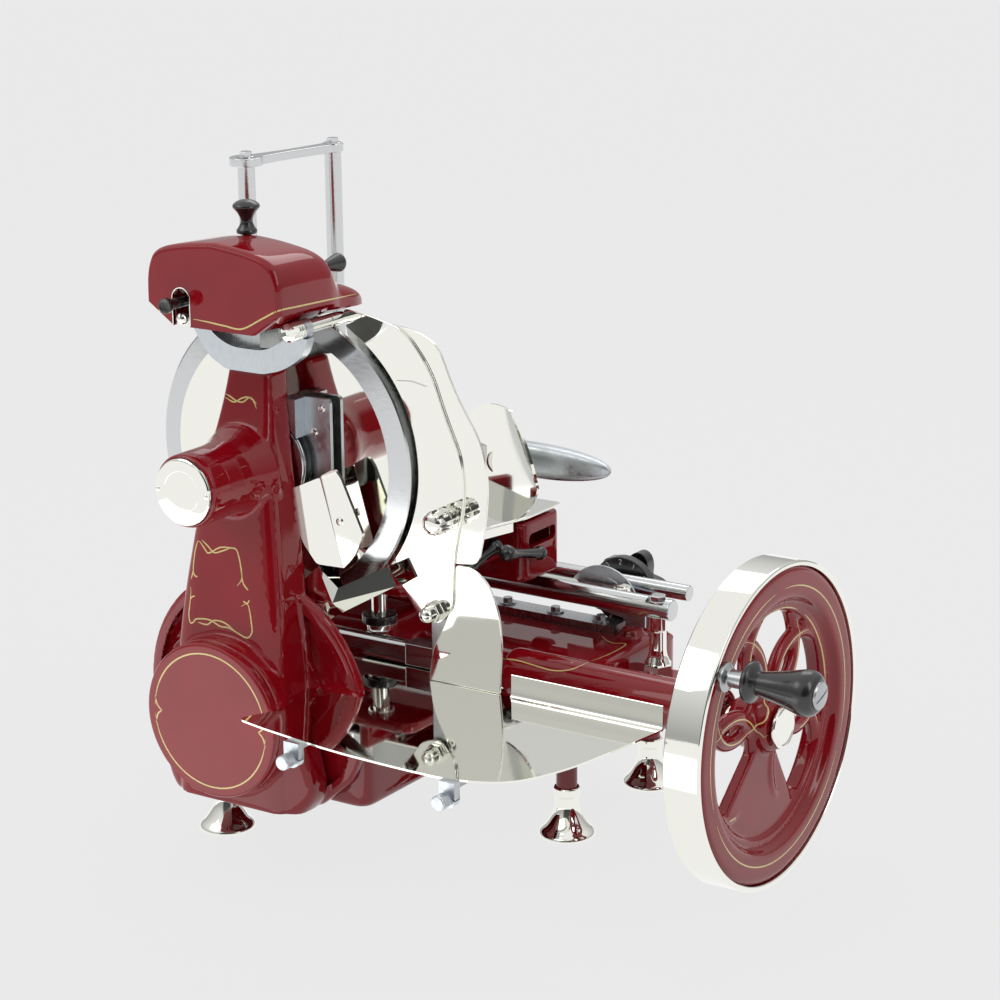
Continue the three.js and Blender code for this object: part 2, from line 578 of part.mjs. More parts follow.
// Drive line from the sprocket to the bevel gear, and the chain up to the blade
const gearBack = wheel.y - bevel.pitch
const shaftEnd = gearBack - drive.gearGap
node('drive_shaft', bar(drive.radius, drive.front, shaftEnd, 'y', 0, 0, drive.z, coarse), steel)
const driveHub = bar(bevel.pitch * bevel.hubShare, shaftEnd + sink / 2, gearBack + sink, 'y', 0, 0, drive.z)
const driveHole = bar(drive.radius + seam, 0, shaftEnd + seam, 'y', 0, 0, drive.z, coarse)
const driveGear = solid(bevelGear(0).translate(0, wheel.y, drive.z))
node('drive_bevel_gear', cut(join(driveGear, driveHub), driveHole), darkSteel)
node('drive_sprocket', sprocket(chain.big, chain.teethBig, drive.radius + bondGap, drive.z), darkSteel)
node('drive_chain', chainLoop(), darkSteel)
node('blade_sprocket', sprocket(chain.small, chain.teethSmall, spindle.radius + bondGap, blade.z), darkSteel)

// Flywheel shaft with its bevel gear
const wheelHubFace = wheel.front - wheel.hubFront
const wheelGear = bevelGear(Math.PI / bevel.teeth / 2).rotateZ(Math.PI / 2).translate(0, wheel.y, drive.z)
const wheelHub = bar(bevel.pitch * bevel.smallHubShare, bevel.pitch - sink, bevel.pitch + bevel.smallHubLong, 'x',
  0, wheel.y, drive.z)
const gearHole = bar(axle.radius + nick, 0, nose.start, 'x', 0, wheel.y, drive.z, coarse)
node('wheel_bevel_gear', cut(join(solid(wheelGear), wheelHub), gearHole), darkSteel)
const axleProfile = [[0, axle.start], [axle.radius, axle.start], [axle.radius, wheelHubFace + nick],
  [axle.flangeNeck, wheelHubFace + nick], [axle.flange, wheelHubFace + axle.rise],
  [axle.flangeEdge, wheelHubFace + axle.edge], [axle.tip, wheelHubFace + axle.dome], [0, wheelHubFace + axle.dome]]
node('flywheel_shaft', turned(axleProfile, 'x', 0, wheel.y, drive.z, coarse), steel)

// Blade: thin disc with a ground bevel, and its shaft
const bladeFlat = blade.radius - blade.bevel
const bladeProfile = [[0, -blade.hubFront], [blade.hub * blade.hubShare, -blade.hubFront], [blade.hub, -blade.body],
  [bladeFlat, -blade.body], [blade.radius, -blade.edge], [blade.radius, 0], [bladeFlat, -chamfer], [0, -chamfer]]
node('blade', turned(bladeProfile, 'y', 0, 0, blade.z, round), chrome)
node('blade_shaft', bar(spindle.radius, spindle.front, -blade.hubFront - nick, 'y', 0, 0, blade.z, coarse), steel)
const housing = [[spindle.radius + running, bearing.front], [bearing.radius - chamfer, bearing.front],
  [bearing.radius - chamfer, bearing.band], [bearing.radius + bearing.lip, bearing.band],
  [bearing.radius + bearing.lip, bearing.back], [spindle.radius + running, bearing.back],
  [spindle.radius + running, bearing.front]]
node('bearing_housing', turned(housing, 'y', 0, 0, blade.z, fine), darkSteel)

// Steel block beside the housing that carries the stripper plates
function supportBlock() {
  const st = steelBlock
  const shape = outline([[st.left, st.rest, st.cornerLow], [st.right, st.rest, st.cornerFar],
    [st.right, st.high, st.cornerTop], [st.left, st.high, st.cornerTop]])
  const hole = bar(bearing.radius + bearing.lip + running, st.front - over, st.back + over, 'y', 0, 0, blade.z, fine)
  const screws = blockScrews.map(([x, z]) => bar(flap.screw, st.front - flap.screwHigh, st.front + sink, 'y',
    x, 0, z, coarse))
  return join(cut(sheet(shape, 'xz', st.front, st.back - st.front), hole), ...screws)
}
node('support_block', supportBlock(), steel)

// Flywheel: web of interlaced loops inside a polished band
function flywheelBody() {
  const w = wheel
  const back = w.front - w.deep
  const webFront = w.front - w.webFront
  const webBack = w.front - w.webBack
  const hubBack = w.front - w.hubBack
  const rimIn = w.radius - w.rimWide
  const rimOut = w.radius - w.band - seam
  const face = w.front - w.rimInset
  const ring = [[rimIn, webFront - w.rimBack], [rimIn + w.rimSlope, face], [rimOut, face], [rimOut, back + w.rimBack],
    [rimIn + w.rimSlope, back + w.rimBack], [rimIn, webBack], [rimIn, webFront - w.rimBack]]
  let body = turned(ring, 'x', 0, w.y, drive.z, fine)
  const [inner, outer] = [w.radius * loop.innerShare, w.radius * loop.outerShare]
  const strand = [[inner, webBack], [inner + loop.taper, webFront], [outer - loop.taper, webFront], [outer, webBack],
    [inner, webBack]]
  for (let i = -loop.reachEachWay; i <= loop.reachEachWay; i += 1) {
    const angle = ((90 + w.turn + loop.pitch * i) * Math.PI) / 180
    const out = w.radius * loop.centreShare
    body = body.add(turned(strand, 'x', 0, w.y + Math.cos(angle) * out, drive.z + Math.sin(angle) * out, loop.sides))
  }
  const hub = [[0, hubBack], [w.hubRadius * w.hubBackShare, hubBack], [w.hubRadius, webBack],
    [w.hubRadius, webFront], [w.hubRadius * w.hubFaceShare, wheelHubFace], [0, wheelHubFace]]
  const lobe = new THREE.Shape()
  const from = ((w.turn - 90 - loop.lobeHalf) * Math.PI) / 180
  const to = ((w.turn - 90 + loop.lobeHalf) * Math.PI) / 180
  lobe.absarc(w.y, drive.z, rimIn + loop.lobeSink, from, to, false)
  lobe.absarc(w.y, drive.z, w.hubRadius * loop.lobeShare, to, from, true)
  lobe.closePath()
  body = join(body, turned(hub, 'x', 0, w.y, drive.z), sheet(lobe, 'yz', webBack, webFront - webBack, coarse))
  const behind = bar(w.radius * 2, back - w.cutDeep, back + w.rimBack, 'x', 0, w.y, drive.z)
  const kept = bar(rimIn, back - w.cutDeep - over, back + w.rimBack + over, 'x', 0, w.y, drive.z)
  const bored = bar(axle.radius + seam, hubBack - over, wheelHubFace + over, 'x', 0, w.y, drive.z, coarse)
  return cut(body, cut(behind, kept), bored)
}
const wheelBack = wheel.front - wheel.deep
const bandIn = wheel.radius - wheel.band
const bandRing = [[bandIn, wheelBack], [wheel.radius - chamfer, wheelBack],
  [wheel.radius, wheelBack + wheel.bandBack], [wheel.radius, wheel.front - wheel.bandEdge],
  [wheel.radius - wheel.bandEdge, wheel.front], [bandIn, wheel.front], [bandIn, wheelBack]]
node('flywheel', flywheelBody(), enamel)
node('flywheel_band', turned(bandRing, 'x', 0, wheel.y, drive.z, fine), chrome)

// Crank pin and the free-turning grip
const pinAngle = (crank.angle * Math.PI) / 180
const pinOut = wheel.radius - crank.rimIn
const pinY = wheel.y + Math.cos(pinAngle) * pinOut
const pinZ = drive.z + Math.sin(pinAngle) * pinOut
const gripStart = wheel.front + crank.standoff
const gripEnd = gripStart + crank.gripLength
const bossEnd = wheel.front + crank.bossLength
const pinProfile = [[0, wheel.front - wheel.rimInset + nick], [crank.bossRadius, wheel.front - wheel.rimInset + nick],
  [crank.bossRadius, bossEnd], [crank.neckRadius, bossEnd + crank.taper],
  [crank.neckRadius, gripStart - crank.neckEnd],
  [crank.pinRadius, gripStart - crank.neckEnd + crank.neckStep], [crank.pinRadius, gripEnd + seam],
  [crank.capRadius, gripEnd + seam], [crank.capRadius - chamfer, gripEnd + crank.cap],
  [0, gripEnd + crank.cap + crank.capDome]]
node('crank_pin', turned(pinProfile, 'x', 0, pinY, pinZ, coarse), steel)
const gripBore = crank.pinRadius + seam
const gripProfile = [[gripBore, gripStart], [crank.neck, gripStart], [crank.flange, gripStart + crank.flangeLow],
  [crank.flange, gripStart + crank.flangeHigh], [crank.neck, gripStart + crank.neckHigh],
  [crank.belly - crank.bellyEase, gripEnd - crank.bellyStart], [crank.belly, gripEnd - crank.bellyFull],
  [crank.capRadius + chamfer, gripEnd], [gripBore, gripEnd], [gripBore, gripStart]]
node('crank_grip', turned(gripProfile, 'x', 0, pinY, pinZ), black)

// Slide rod with its end flat and clamp bolt
const rodProfile = [[0, rod.left], [rod.radius - rod.edge, rod.left], [rod.radius, rod.left + rod.edge],
  [rod.radius, rod.right - rod.edge], [rod.radius - rod.edge, rod.right], [0, rod.right]]
const flatLow = rod.z + rod.radius - rod.flatDepth
const flatCut = block(rod.flat, rod.flatEnd, rod.y - rod.flatWide, rod.y + rod.flatWide, flatLow,
  flatLow + rod.flatWide)
const boltX = posts[0].x
const headLow = flatLow + post.headLow
const rodBolt = join(
  bar(post.washer, flatLow - post.washerSink, flatLow + post.washerHigh, 'z', boltX, rod.y, 0),
  hexagon(post.head, headLow, headLow + post.headTop, 'z', boltX, rod.y, 0),
)
node('slide_rod', join(cut(turned(rodProfile, 'x', 0, rod.y, rod.z), flatCut), rodBolt), chrome)

// Two hexagonal posts that carry the rod
posts.forEach(({ x, share }, i) => {
  const seatZ = i === 0 ? ledge.top : base.topBack
  const topZ = rod.z - rod.radius
  const hexTop = seatZ + post.hexTop * share
  const profile = [[0, hexTop - sink], [post.hex * post.hexShare, hexTop - sink], [post.neck, hexTop + post.neckHigh],
    [post.shaft, hexTop + post.neckEnd], [post.shaft, topZ - post.neckEnd], [post.neck, topZ - post.neckHigh],
    [post.neck, topZ + post.saddle], [0, topZ + post.saddle]]
  const column = join(hexagon(post.hex, seatZ, hexTop, 'z', x, rod.y, 0),
    turned(profile, 'z', x, rod.y, 0, coarse))
  const saddle = bar(rod.radius + post.seatGap, x - post.reach, x + post.reach, 'x', 0, rod.y, rod.z)
  node(`rod_post_${i + 1}`, cut(column, saddle), chrome)
})

// Ground track bar bolted to the base
function trackBar() {
  const y = (track.front + track.back) / 2
  const bolts = track.boltX.map((x) => join(
    bar(track.washer, track.top - sink, track.top + track.washerHigh, 'z', x, y, 0, coarse),
    hexagon(track.bolt, track.top, track.top + track.boltHigh, 'z', x, y, 0),
  ))
  return join(block(track.left, track.right, track.front, track.back, base.topBack, track.top), ...bolts)
}
node('track_bar', trackBar(), steel)

// Front rail with its end blocks, on the base behind the tray
function frontRail() {
  const back = rail.y + rail.block
  const near = rail.y - rail.block
  const plain = bar(rail.radius, rail.left, rail.right + rail.corner, 'x', 0, rail.y, rail.z, coarse)
  const flat = block(rail.left - over, rail.right + rail.corner, rail.y - rail.room, rail.y - rail.radius + rail.flat,
    rail.z - rail.room, rail.z + rail.room)
  const shape = outline([[rail.right + sink, near, rail.corner], [rail.armLeft, near, 0],
    [rail.armLeft, bracket.back, 0], [rail.blockEnd, bracket.back, 0], [rail.blockEnd, back, rail.farCorner],
    [rail.right + sink, back, rail.corner]])
  const top = rail.z + rail.radius + sink
  const leftStand = block(rail.left - rail.standWide, rail.left + sink, near, back, base.topFront, top)
  return join(cut(plain, flat), sheet(shape, 'xy', rail.low, top - rail.low), leftStand)
}
node('front_rail', frontRail(), steel)

// Carriage: open box with a slot, arm towards the blade, bushes and lugs for the rods
function carriageBody() {
  const k = carriage
  const box = pad(rectangle(k.left, k.right, k.front, k.back, k.corner), k.low, k.top, k.edge)
  const hollow = pad(rectangle(k.left + k.wall, k.right - k.wall, k.front + k.wall, k.back - k.wall, k.corner / 2),
    k.low - k.room, k.top - k.roof, k.edge, 1)
  const arm = sheet(outline([[k.armLeft, k.armFront, k.armCorner], [k.armRight, k.armFront, k.armCorner],
    [k.armRight, k.front + k.sunk, 0], [k.armLeft, k.front + k.sunk, 0]]), 'xy', k.armLow, k.armTop - k.armLow)
  let body = join(cut(box, hollow), arm)
  for (const side of [-1, 1]) {
    const x = side * k.railX
    body = body.add(block(x - k.railWide / 2, x + k.railWide / 2, k.armFront + k.railStart, k.front + k.sunk,
      k.armTop - sink, k.top))
  }
  for (const x of bush.at) {
    const [x0, x1] = [x - bush.length / 2, x + bush.length / 2]
    body = join(body, bar(bush.radius, x0, x1, 'x', 0, rod.y, rod.z, bush.sides),
      block(x0, x1, rod.y - bush.webIn, k.back - sink, rod.z + bush.webLow, k.low + k.wall + sink))
  }
  for (const x of reach.lugAt) {
    const [x0, x1] = [x - reach.lugWidth / 2, x + reach.lugWidth / 2]
    body = join(
      body,
      bar(reach.lug, x0, x1, 'x', 0, reach.y, reach.z, coarse),
      block(x0, x1, k.back - k.sunk, reach.y, reach.z - reach.webLow, reach.z + reach.lug),
      block(x0, x1, k.back - reach.webIn, k.back + reach.webOut, reach.z - reach.webLow, k.low + k.wall + sink),
    )
  }
  body = body.add(block(feed.x - feed.lug, feed.x + feed.lug, feed.lugFront, feed.lugBack, k.armTop - sink,
    k.top - feed.lugDrop))
  const half = (slot.high - slot.low) / 2
  const [from, to] = [k.right - slot.deep, k.right + slot.out]
  const slotEnds = [slot.front, slot.back].map((y) => bar(half, from, to, 'x', 0, y, slot.low + half, coarse))
  return cut(
    body, join(...slotEnds, block(from, to, slot.front, slot.back, slot.low, slot.high)),
    bar(rod.radius + running, k.left - k.room, k.right + k.room, 'x', 0, rod.y, rod.z),
    block(k.left - k.room, k.right + k.room, rod.y - bush.cutFront, rod.y + bush.cutBack, 0, rod.z - bush.cutTop),
    bar(reach.radius + seam, reach.left - k.room, k.right, 'x', 0, reach.y, reach.z, coarse),
    bar(feed.radius + running, 0, k.back + k.room, 'y', feed.x, 0, feed.z, coarse),
  )
}
node('carriage_body', carriageBody(), enamel)
const reachProfile = [[0, reach.left], [reach.radius, reach.left], [reach.radius, reach.right - reach.edge],
  [reach.radius - reach.edge, reach.right], [0, reach.right]]
node('reach_rod', turned(reachProfile, 'x', 0, reach.y, reach.z, coarse), polished)
node('trip_bar', join(block(trip.left, trip.right, trip.front, trip.back, trip.low, trip.top),
  bar(trip.bush, trip.bushLow, trip.bushTop, 'z', trip.right, (trip.front + trip.back) / 2, 0, coarse)), polished)

// Guide roller that hangs from the carriage arm against the front rail
const hangLow = carriage.armLow - spool.edge
const spoolProfile = [[0, spool.low], [spool.collar - spool.edge, spool.low], [spool.collar, spool.low + spool.edge],
  [spool.collar, spool.ringLow - running], [spool.shaft, spool.ringLow - running], [spool.shaft, hangLow],
  [spool.collar, hangLow], [spool.collar, carriage.armLow], [0, carriage.armLow]]
node('roller_shaft', turned(spoolProfile, 'z', spool.x, spool.y, 0, coarse), chrome)
const ringBore = spool.shaft + seam
const ringProfile = [[ringBore, spool.ringLow], [spool.ring - chamfer, spool.ringLow],
  [spool.ring, spool.ringLow + chamfer], [spool.ring, spool.ringTop - chamfer], [spool.ring - chamfer, spool.ringTop],
  [ringBore, spool.ringTop], [ringBore, spool.ringLow]]
node('guide_roller', turned(ringProfile, 'z', spool.x, spool.y, 0), black)

// Clamp levers with ball ends
levers.forEach(([x, y, z, way], i) => {
  const cx = x + lever.hub + lever.stand
  const [ey, ez] = [y + way * lever.length, z + lever.rise]
  const ball = (radius, by, bz) => solid(new THREE.SphereGeometry(radius, few, lever.rings).translate(cx, by, bz))
  const neck = new THREE.CylinderGeometry(lever.grip, lever.gripEnd, Math.hypot(lever.length, lever.rise), few)
  const slope = Math.atan2(lever.rise, lever.length)
  neck.rotateX(way > 0 ? slope : Math.PI - slope).translate(cx, (y + ey) / 2, (z + ez) / 2)
  node(`clamp_lever_${i + 1}`, join(ball(lever.hub, y, z), ball(lever.ball, ey, ez), solid(neck),
    bar(lever.pin, x, cx, 'x', 0, y, z, coarse)), black)
})

// Meat table with downturned edge, slide strips and feed nut
function tablePlate() {
  let body = join(sheet(outline(tableOutline), 'xy', table.top - table.thick, table.thick),
    sheet(outline(apronOutline), 'xy', table.top - table.apron, table.apron - sink))
  for (const side of [-1, 1]) {
    const x = side * carriage.railX
    body = body.add(block(x - table.strip / 2, x + table.strip / 2, table.stripFront, table.stripBack, carriage.top,
      table.top - sink))
  }
  const nut = block(feed.x - feed.nut, feed.x + feed.nut, feed.nutFront, feed.nutBack, feed.nutLow, table.top - sink)
  return body.add(cut(nut, bar(feed.radius + running, 0, feed.end, 'y', feed.x, 0, feed.z, coarse)))
}
node('table_plate', tablePlate(), chrome)

// Feed screw with its collar and hand wheel
const collarStart = carriage.back + running
const screwProfile = [[0, feed.start], [feed.radius, feed.start], [feed.radius, collarStart],
  [feed.collar, collarStart], [feed.collar, carriage.back + feed.collarLong],
  [feed.sleeve, carriage.back + feed.collarLong], [feed.sleeve, feed.end - feed.wheelLong],
  [feed.wheel, feed.end - feed.wheelFace], [feed.wheel, feed.end], [0, feed.end]]
node('feed_screw', turned(screwProfile, 'y', feed.x, 0, feed.z, coarse), steel)

// Press posts with their feet, joined by the cross bar
const footTop = table.top + press.footHigh
const postProfile = [[0, table.top], [press.foot, table.top], [press.foot, footTop - press.footEdge],
  [press.foot - press.footEdge, footTop], [press.radius, footTop],
  [press.radius, press.top + sink], [0, press.top + sink]]
const postBars = pressPosts.map(([x, y]) => turned(postProfile, 'z', x, y, 0, coarse))
function link(low, high, bigRadius, smallRadius, waist) {
  const [[ax, ay], [bx, by]] = pressPosts
  const body = new THREE.BoxGeometry(Math.hypot(bx - ax, by - ay), waist * 2, high - low)
  body.rotateZ(Math.atan2(by - ay, bx - ax)).translate((ax + bx) / 2, (ay + by) / 2, (low + high) / 2)
  return join(bar(bigRadius, low, high, 'z', ax, ay, 0), bar(smallRadius, low, high, 'z', bx, by, 0), solid(body))
}
const crossBar = join(link(press.top, press.crossHigh, press.crossBig, press.crossSmall, press.waist),
  ...pressPosts.map(([x, y]) => hexagon(press.bolt, press.crossHigh - sink, press.crossHigh + press.boltHigh, 'z',
    x, y, 0)))
node('press_posts', join(crossBar, ...postBars), chrome)

// Press carrier: sliding link, arm and toothed plate
function pressCarrier() {
  const p = press
  const arm = sheet(outline([[p.armStart, p.armFront, p.armNick], [p.armEnd, p.armFront, p.armRound],
    [p.armEnd, p.armBack, p.armRound], [p.armStart, p.armBack, p.armNick]]), 'xy', p.armLow, p.armHigh - p.armLow)
  const teeth = new THREE.Shape()
  teeth.moveTo(clamp.left, clamp.high)
  for (let i = 0; i <= clamp.teeth * 2; i += 1) {
    const x = clamp.left + ((clamp.right - clamp.left) * i) / (clamp.teeth * 2)
    teeth.lineTo(x, i % 2 ? clamp.low : clamp.low + clamp.tooth)
  }
  teeth.lineTo(clamp.right, clamp.high)
  teeth.closePath()
  const holes = pressPosts.map(([x, y]) => bar(p.radius + running, p.carrierLow - over, p.carrierHigh + over, 'z',
    x, y, 0, coarse))
  return cut(join(
    link(p.carrierLow, p.carrierHigh, p.lug, p.lug, p.linkWaist), arm,
    sheet(teeth, 'xz', clamp.front, clamp.back - clamp.front),
    block(p.toothStart, p.toothArm, clamp.front - p.toothFront, p.toothBack, p.armLow + p.toothInset,
      p.armHigh - p.toothInset),
  ), ...holes)
}
node('press_carrier', pressCarrier(), polished)

// Hand guard: polished disc folded along a chord, on a boss in front of the arm
function handGuard() {
  const g = guardDisc
  const open = Math.acos(g.fold / g.radius)
  const part = (folded) => {
    const shape = new THREE.Shape()
    if (folded) shape.absarc(0, 0, g.radius, -open, open, false)
    else shape.absarc(0, 0, g.radius, open, 2 * Math.PI - open, false)
    shape.closePath()
    const body = new THREE.ExtrudeGeometry(shape, { depth: g.thick, bevelEnabled: false, curveSegments: g.curve })
    if (folded) body.translate(-g.fold, 0, 0).rotateY((-g.foldAngle * Math.PI) / 180).translate(g.fold, 0, 0)
    body.rotateZ((g.foldTilt * Math.PI) / 180).rotateX(Math.PI / 2).rotateZ((g.turn * Math.PI) / 180)
    return solid(body.translate(g.x, g.y, g.z))
  }
  const boss = bar(g.boss, g.y - g.bossIn, press.armFront, 'y', g.x - g.bossLeft, 0, g.z, coarse)
  return join(part(false), part(true), boss)
}
node('hand_guard', handGuard(), chrome)

// Press handle: flattened paddle on the end of the arm
const gripOutline = [new THREE.Vector2(0, 0)]
for (let i = 0; i <= handle.rings; i += 1) {
  const t = i / handle.rings
  const wide = i === handle.rings ? 0 : handle.radius * Math.sqrt(1 - t ** handle.fullness)
  gripOutline.push(new THREE.Vector2(wide, t * (handle.end - press.armEnd)))
}
const gripBody = new THREE.LatheGeometry(gripOutline, medium).rotateZ(-Math.PI / 2).scale(1, handle.flatShare, 1)
node('press_handle', solid(gripBody.translate(press.armEnd, handle.y, handle.z)), polished)

// Guard plates beside the blade, sized from its radius; the lower one stops above the tray
function beside(points) {
  return outline(points.map(([x, z, corner]) => [x * blade.radius, blade.z + z * blade.radius, corner]))
}
function belowGuard(points) {
  const top = blade.z - guard.lowerTopShare * blade.radius
  const high = top - tray.top - seam
  return outline(points.map(([x, down, corner]) => [x * blade.radius, top - down * high, corner]))
}
function atBlade(part) {
  return [part.xShare * blade.radius, blade.z + part.zShare * blade.radius]
}
node('outer_guard', sheet(beside(outerGuard), 'xz', guard.outer, guard.thick, 3), chrome)
node('lower_guard', sheet(belowGuard(lowerGuard), 'xz', guard.outer, guard.thick, 3), chrome)
const br = bracket
const braceShape = [[br.foot, base.topFront, br.nickCorner], [br.seat, base.topFront, br.nickCorner],
  [br.seat, br.low, br.corner], [br.right, br.low, br.wide], [br.right, br.top, br.topCorner],
  [br.stem, br.top, br.topCorner], [br.stem, br.beam, br.corner], [br.foot, br.beam, br.corner]]
node('guard_bracket', sheet(outline(braceShape), 'xz', br.front, br.back - br.front), steel)

// Inner guard around the blade, with its acorn nut and latch
function innerPlate() {
  const gb = guardBolt
  const [bx, bz] = atBlade(gb)
  const [lx, lz] = atBlade(latch)
  const window = bar(blade.radius * guard.windowShare, guard.inner - over, guard.inner + guard.thick + over, 'y',
    0, 0, blade.z, round)
  const nutSeat = guard.inner - gb.nut
  const nut = [[0, guard.inner - gb.tip], [gb.radius * gb.tipShare, guard.inner - gb.tip + gb.tipEdge],
    [gb.radius * gb.waistShare, nutSeat - gb.waist], [gb.radius * gb.waistShare, nutSeat + gb.seat],
    [0, nutSeat + gb.seat]]
  const latchShape = outline([[lx - latch.long, lz + latch.tail, latch.tip], [lx, lz - latch.high, latch.belly],
    [lx + latch.long, lz, latch.tip], [lx, lz + latch.high, latch.belly]])
  return join(
    cut(sheet(beside(innerGuard), 'xz', guard.inner, guard.thick, 3), window),
    turned(nut, 'y', bx, 0, bz, coarse),
    hexagon(gb.flats, nutSeat, guard.inner + sink, 'y', bx, 0, bz),
    sheet(latchShape, 'xz', guard.inner - latch.thick, latch.thick + sink, 2),
  )
}
node('inner_guard', innerPlate(), chrome)

// Lobed knob that holds the guard
function guardKnob() {
  const [kx, kz] = atBlade(knob)
  const profile = [[0, knob.front], [knob.radius - knob.taper, knob.front], [knob.radius, knob.front + knob.taper],
    [knob.radius, knob.back], [knob.radius - knob.neck, knob.back], [knob.radius - knob.neck, guard.inner],
    [0, guard.inner]]
  let body = turned(profile, 'y', kx, 0, kz, knob.sides)
  for (let i = 0; i < knob.lobes; i += 1) {
    const angle = (i / knob.lobes) * 2 * Math.PI
    const out = knob.radius + knob.scallopOut
    body = cut(body, bar(knob.scallop, knob.front + knob.scallopStart, knob.back - knob.scallopEnd, 'y',
      kx + Math.cos(angle) * out, 0, kz + Math.sin(angle) * out, few))
  }
  return body
}
node('guard_knob', guardKnob(), chrome)

// Stripper plates, screwed to the block, and the polished chute below them
function stripper(points, front, [x, z]) {
  const plate = sheet(outline(points), 'xz', front, flap.back - front, 3)
  return plate.add(bar(flap.screw, front - flap.screwHigh, front + sink, 'y', x, 0, z, few))
}
node('stripper_plates', join(stripper(flapLeft, flap.front, flapScrews[0]),
  stripper(flapRight, flap.front - flap.rise, flapScrews[1])), chrome)
node('chute', join(sheet(outline(chuteOutline), 'xz', chute.front, chute.back - chute.front, 2),
  block(chute.lugLeft, chute.lugRight, flange.back, chute.front + sink, chute.lugLow, chute.lugHigh)), chrome)

// Slice tray with raised lip
const trayLow = tray.top - tray.thick
const coveFront = tray.lipBack - tray.cove
const lipFront = tray.lipBack - tray.lipThick
const lipLeft = guard.widestShare * blade.radius + tray.lipGap
const lipShape = [[tray.lipBack, trayLow, 0], [tray.lipBack, tray.top + tray.lipHigh, 0],
  [lipFront, tray.top + tray.lipHigh, 0], [lipFront, tray.top + tray.cove, tray.coveRound],
  [coveFront, tray.top - tray.coveDrop, 0], [coveFront, trayLow, 0]]
node('slice_tray', join(sheet(outline(trayOutline), 'xy', trayLow, tray.thick, 3),
  sheet(outline(lipShape), 'yz', lipLeft, tray.lipRight - lipLeft)), chrome)

// Frame under the tray with two clips and their knobs
function trayFrame() {
  const fb = frameBar
  let body = join(block(fb.left, fb.right, fb.front, fb.back, fb.low, fb.top),
    block(fb.left, fb.footRight, fb.front, fb.back, base.topFront, fb.low + sink))
  const low = trayLow - clip.drop
  for (const [x, y] of clips) {
    body = join(
      body,
      block(x - fb.armHalf, x + fb.armHalf, y - sink, fb.front + sink, fb.low, fb.top),
      block(x - clip.half, x + clip.half, y - clip.deep, y, low, trayLow),
      bar(clip.knob, y - clip.deep - clip.knobLong, y - clip.deep + sink, 'y', x, 0, low + clip.knob + clip.knobRise,
        coarse),
    )
  }
  return body
}
node('tray_frame', trayFrame(), steel)

// Fork around the blade's edge, and the tie rod through its eye
const tieZ = crown - tie.drop
const forkShape = outline(forkOutline.map(([x, z, corner]) => [x, crown + z, corner]))
node('fork', cut(join(sheet(forkShape, 'xz', fork.front, fork.back - fork.front, 4),
  bar(fork.eye, fork.front, fork.back, 'y', tie.x, 0, tieZ)),
bar(tie.radius + seam, fork.front - over, fork.back + over, 'y', tie.x, 0, tieZ, coarse)), chrome)
const tieProfile = [[0, tie.front], [tie.knobRadius - tie.edge, tie.front], [tie.knobRadius, tie.front + tie.edge],
  [tie.knobRadius, fork.front - seam], [tie.radius, fork.front - seam], [tie.radius, guard.inner], [0, guard.inner]]
const slotCut = block(tie.x - tie.slotRun, tie.x + tie.slotRun, tie.front - over, tie.front + tie.slotDeep,
  tieZ - tie.slotHalf, tieZ + tie.slotHalf)
node('tie_rod', cut(turned(tieProfile, 'y', tie.x, 0, tieZ, tie.sides), slotCut), chrome)

// Skin of the sharpener cover: rings along Y, each with its half width and crown height
const domeLow = crown - dome.drop
function domeSkin(shrink, drop) {
  const rows = domeSections.length - 1
  const sides = domeRing.length
  const body = new THREE.CylinderGeometry(1, 1, 1, sides, rows)
  const place = body.attributes.position
  for (let i = 0; i < place.count; i += 1) {
    const row = Math.round((place.getY(i) + 0.5) * rows)
    const [y, half, rise] = domeSections[row]
    const turn = Math.atan2(place.getX(i), place.getZ(i)) / (2 * Math.PI)
    const [u, v] = domeRing[Math.round(turn * sides + sides) % sides]
    const share = Math.round(Math.hypot(place.getX(i), place.getZ(i)))
    const full = crown + rise - domeLow
    const high = v > 0 ? v * (full - shrink) : -drop
    const inset = row === 0 ? shrink : row === rows ? -shrink : 0
    place.setXYZ(i, dome.x + u * (half - shrink) * share, y + inset, domeLow + (share ? high : (full - shrink) / 2))
  }
  return solid(body)
}
function sharpenerCover() {
  const slotHalf = (dome.slotRight - dome.slotLeft) / 2
  const slotX = (dome.slotRight + dome.slotLeft) / 2
  const slotZ = crown + dome.slotTop
  return cut(
    domeSkin(0, 0), domeSkin(dome.wall, dome.under),
    bar(blade.radius + blade.clearance, -blade.hubFront + 2 * sink, dome.wall, 'y', 0, 0, blade.z, fine),
    block(dome.slotLeft, dome.slotRight, dome.frontRoom, dome.faceRoom, domeLow - over, slotZ),
    bar(slotHalf, dome.frontRoom, dome.faceRoom, 'y', slotX, 0, slotZ, coarse),
    bar(topKnob.stem + running, crown + head.high, crown + topKnob.seat + topKnob.high, 'z', topKnob.x, topKnob.y, 0),
    bar(coneKnob.small + running, coneKnob.front, coneKnob.back, 'y', coneKnob.x, 0, crown + coneKnob.z, coarse),
  )
}
node('sharpener_cover', sharpenerCover(), enamel)

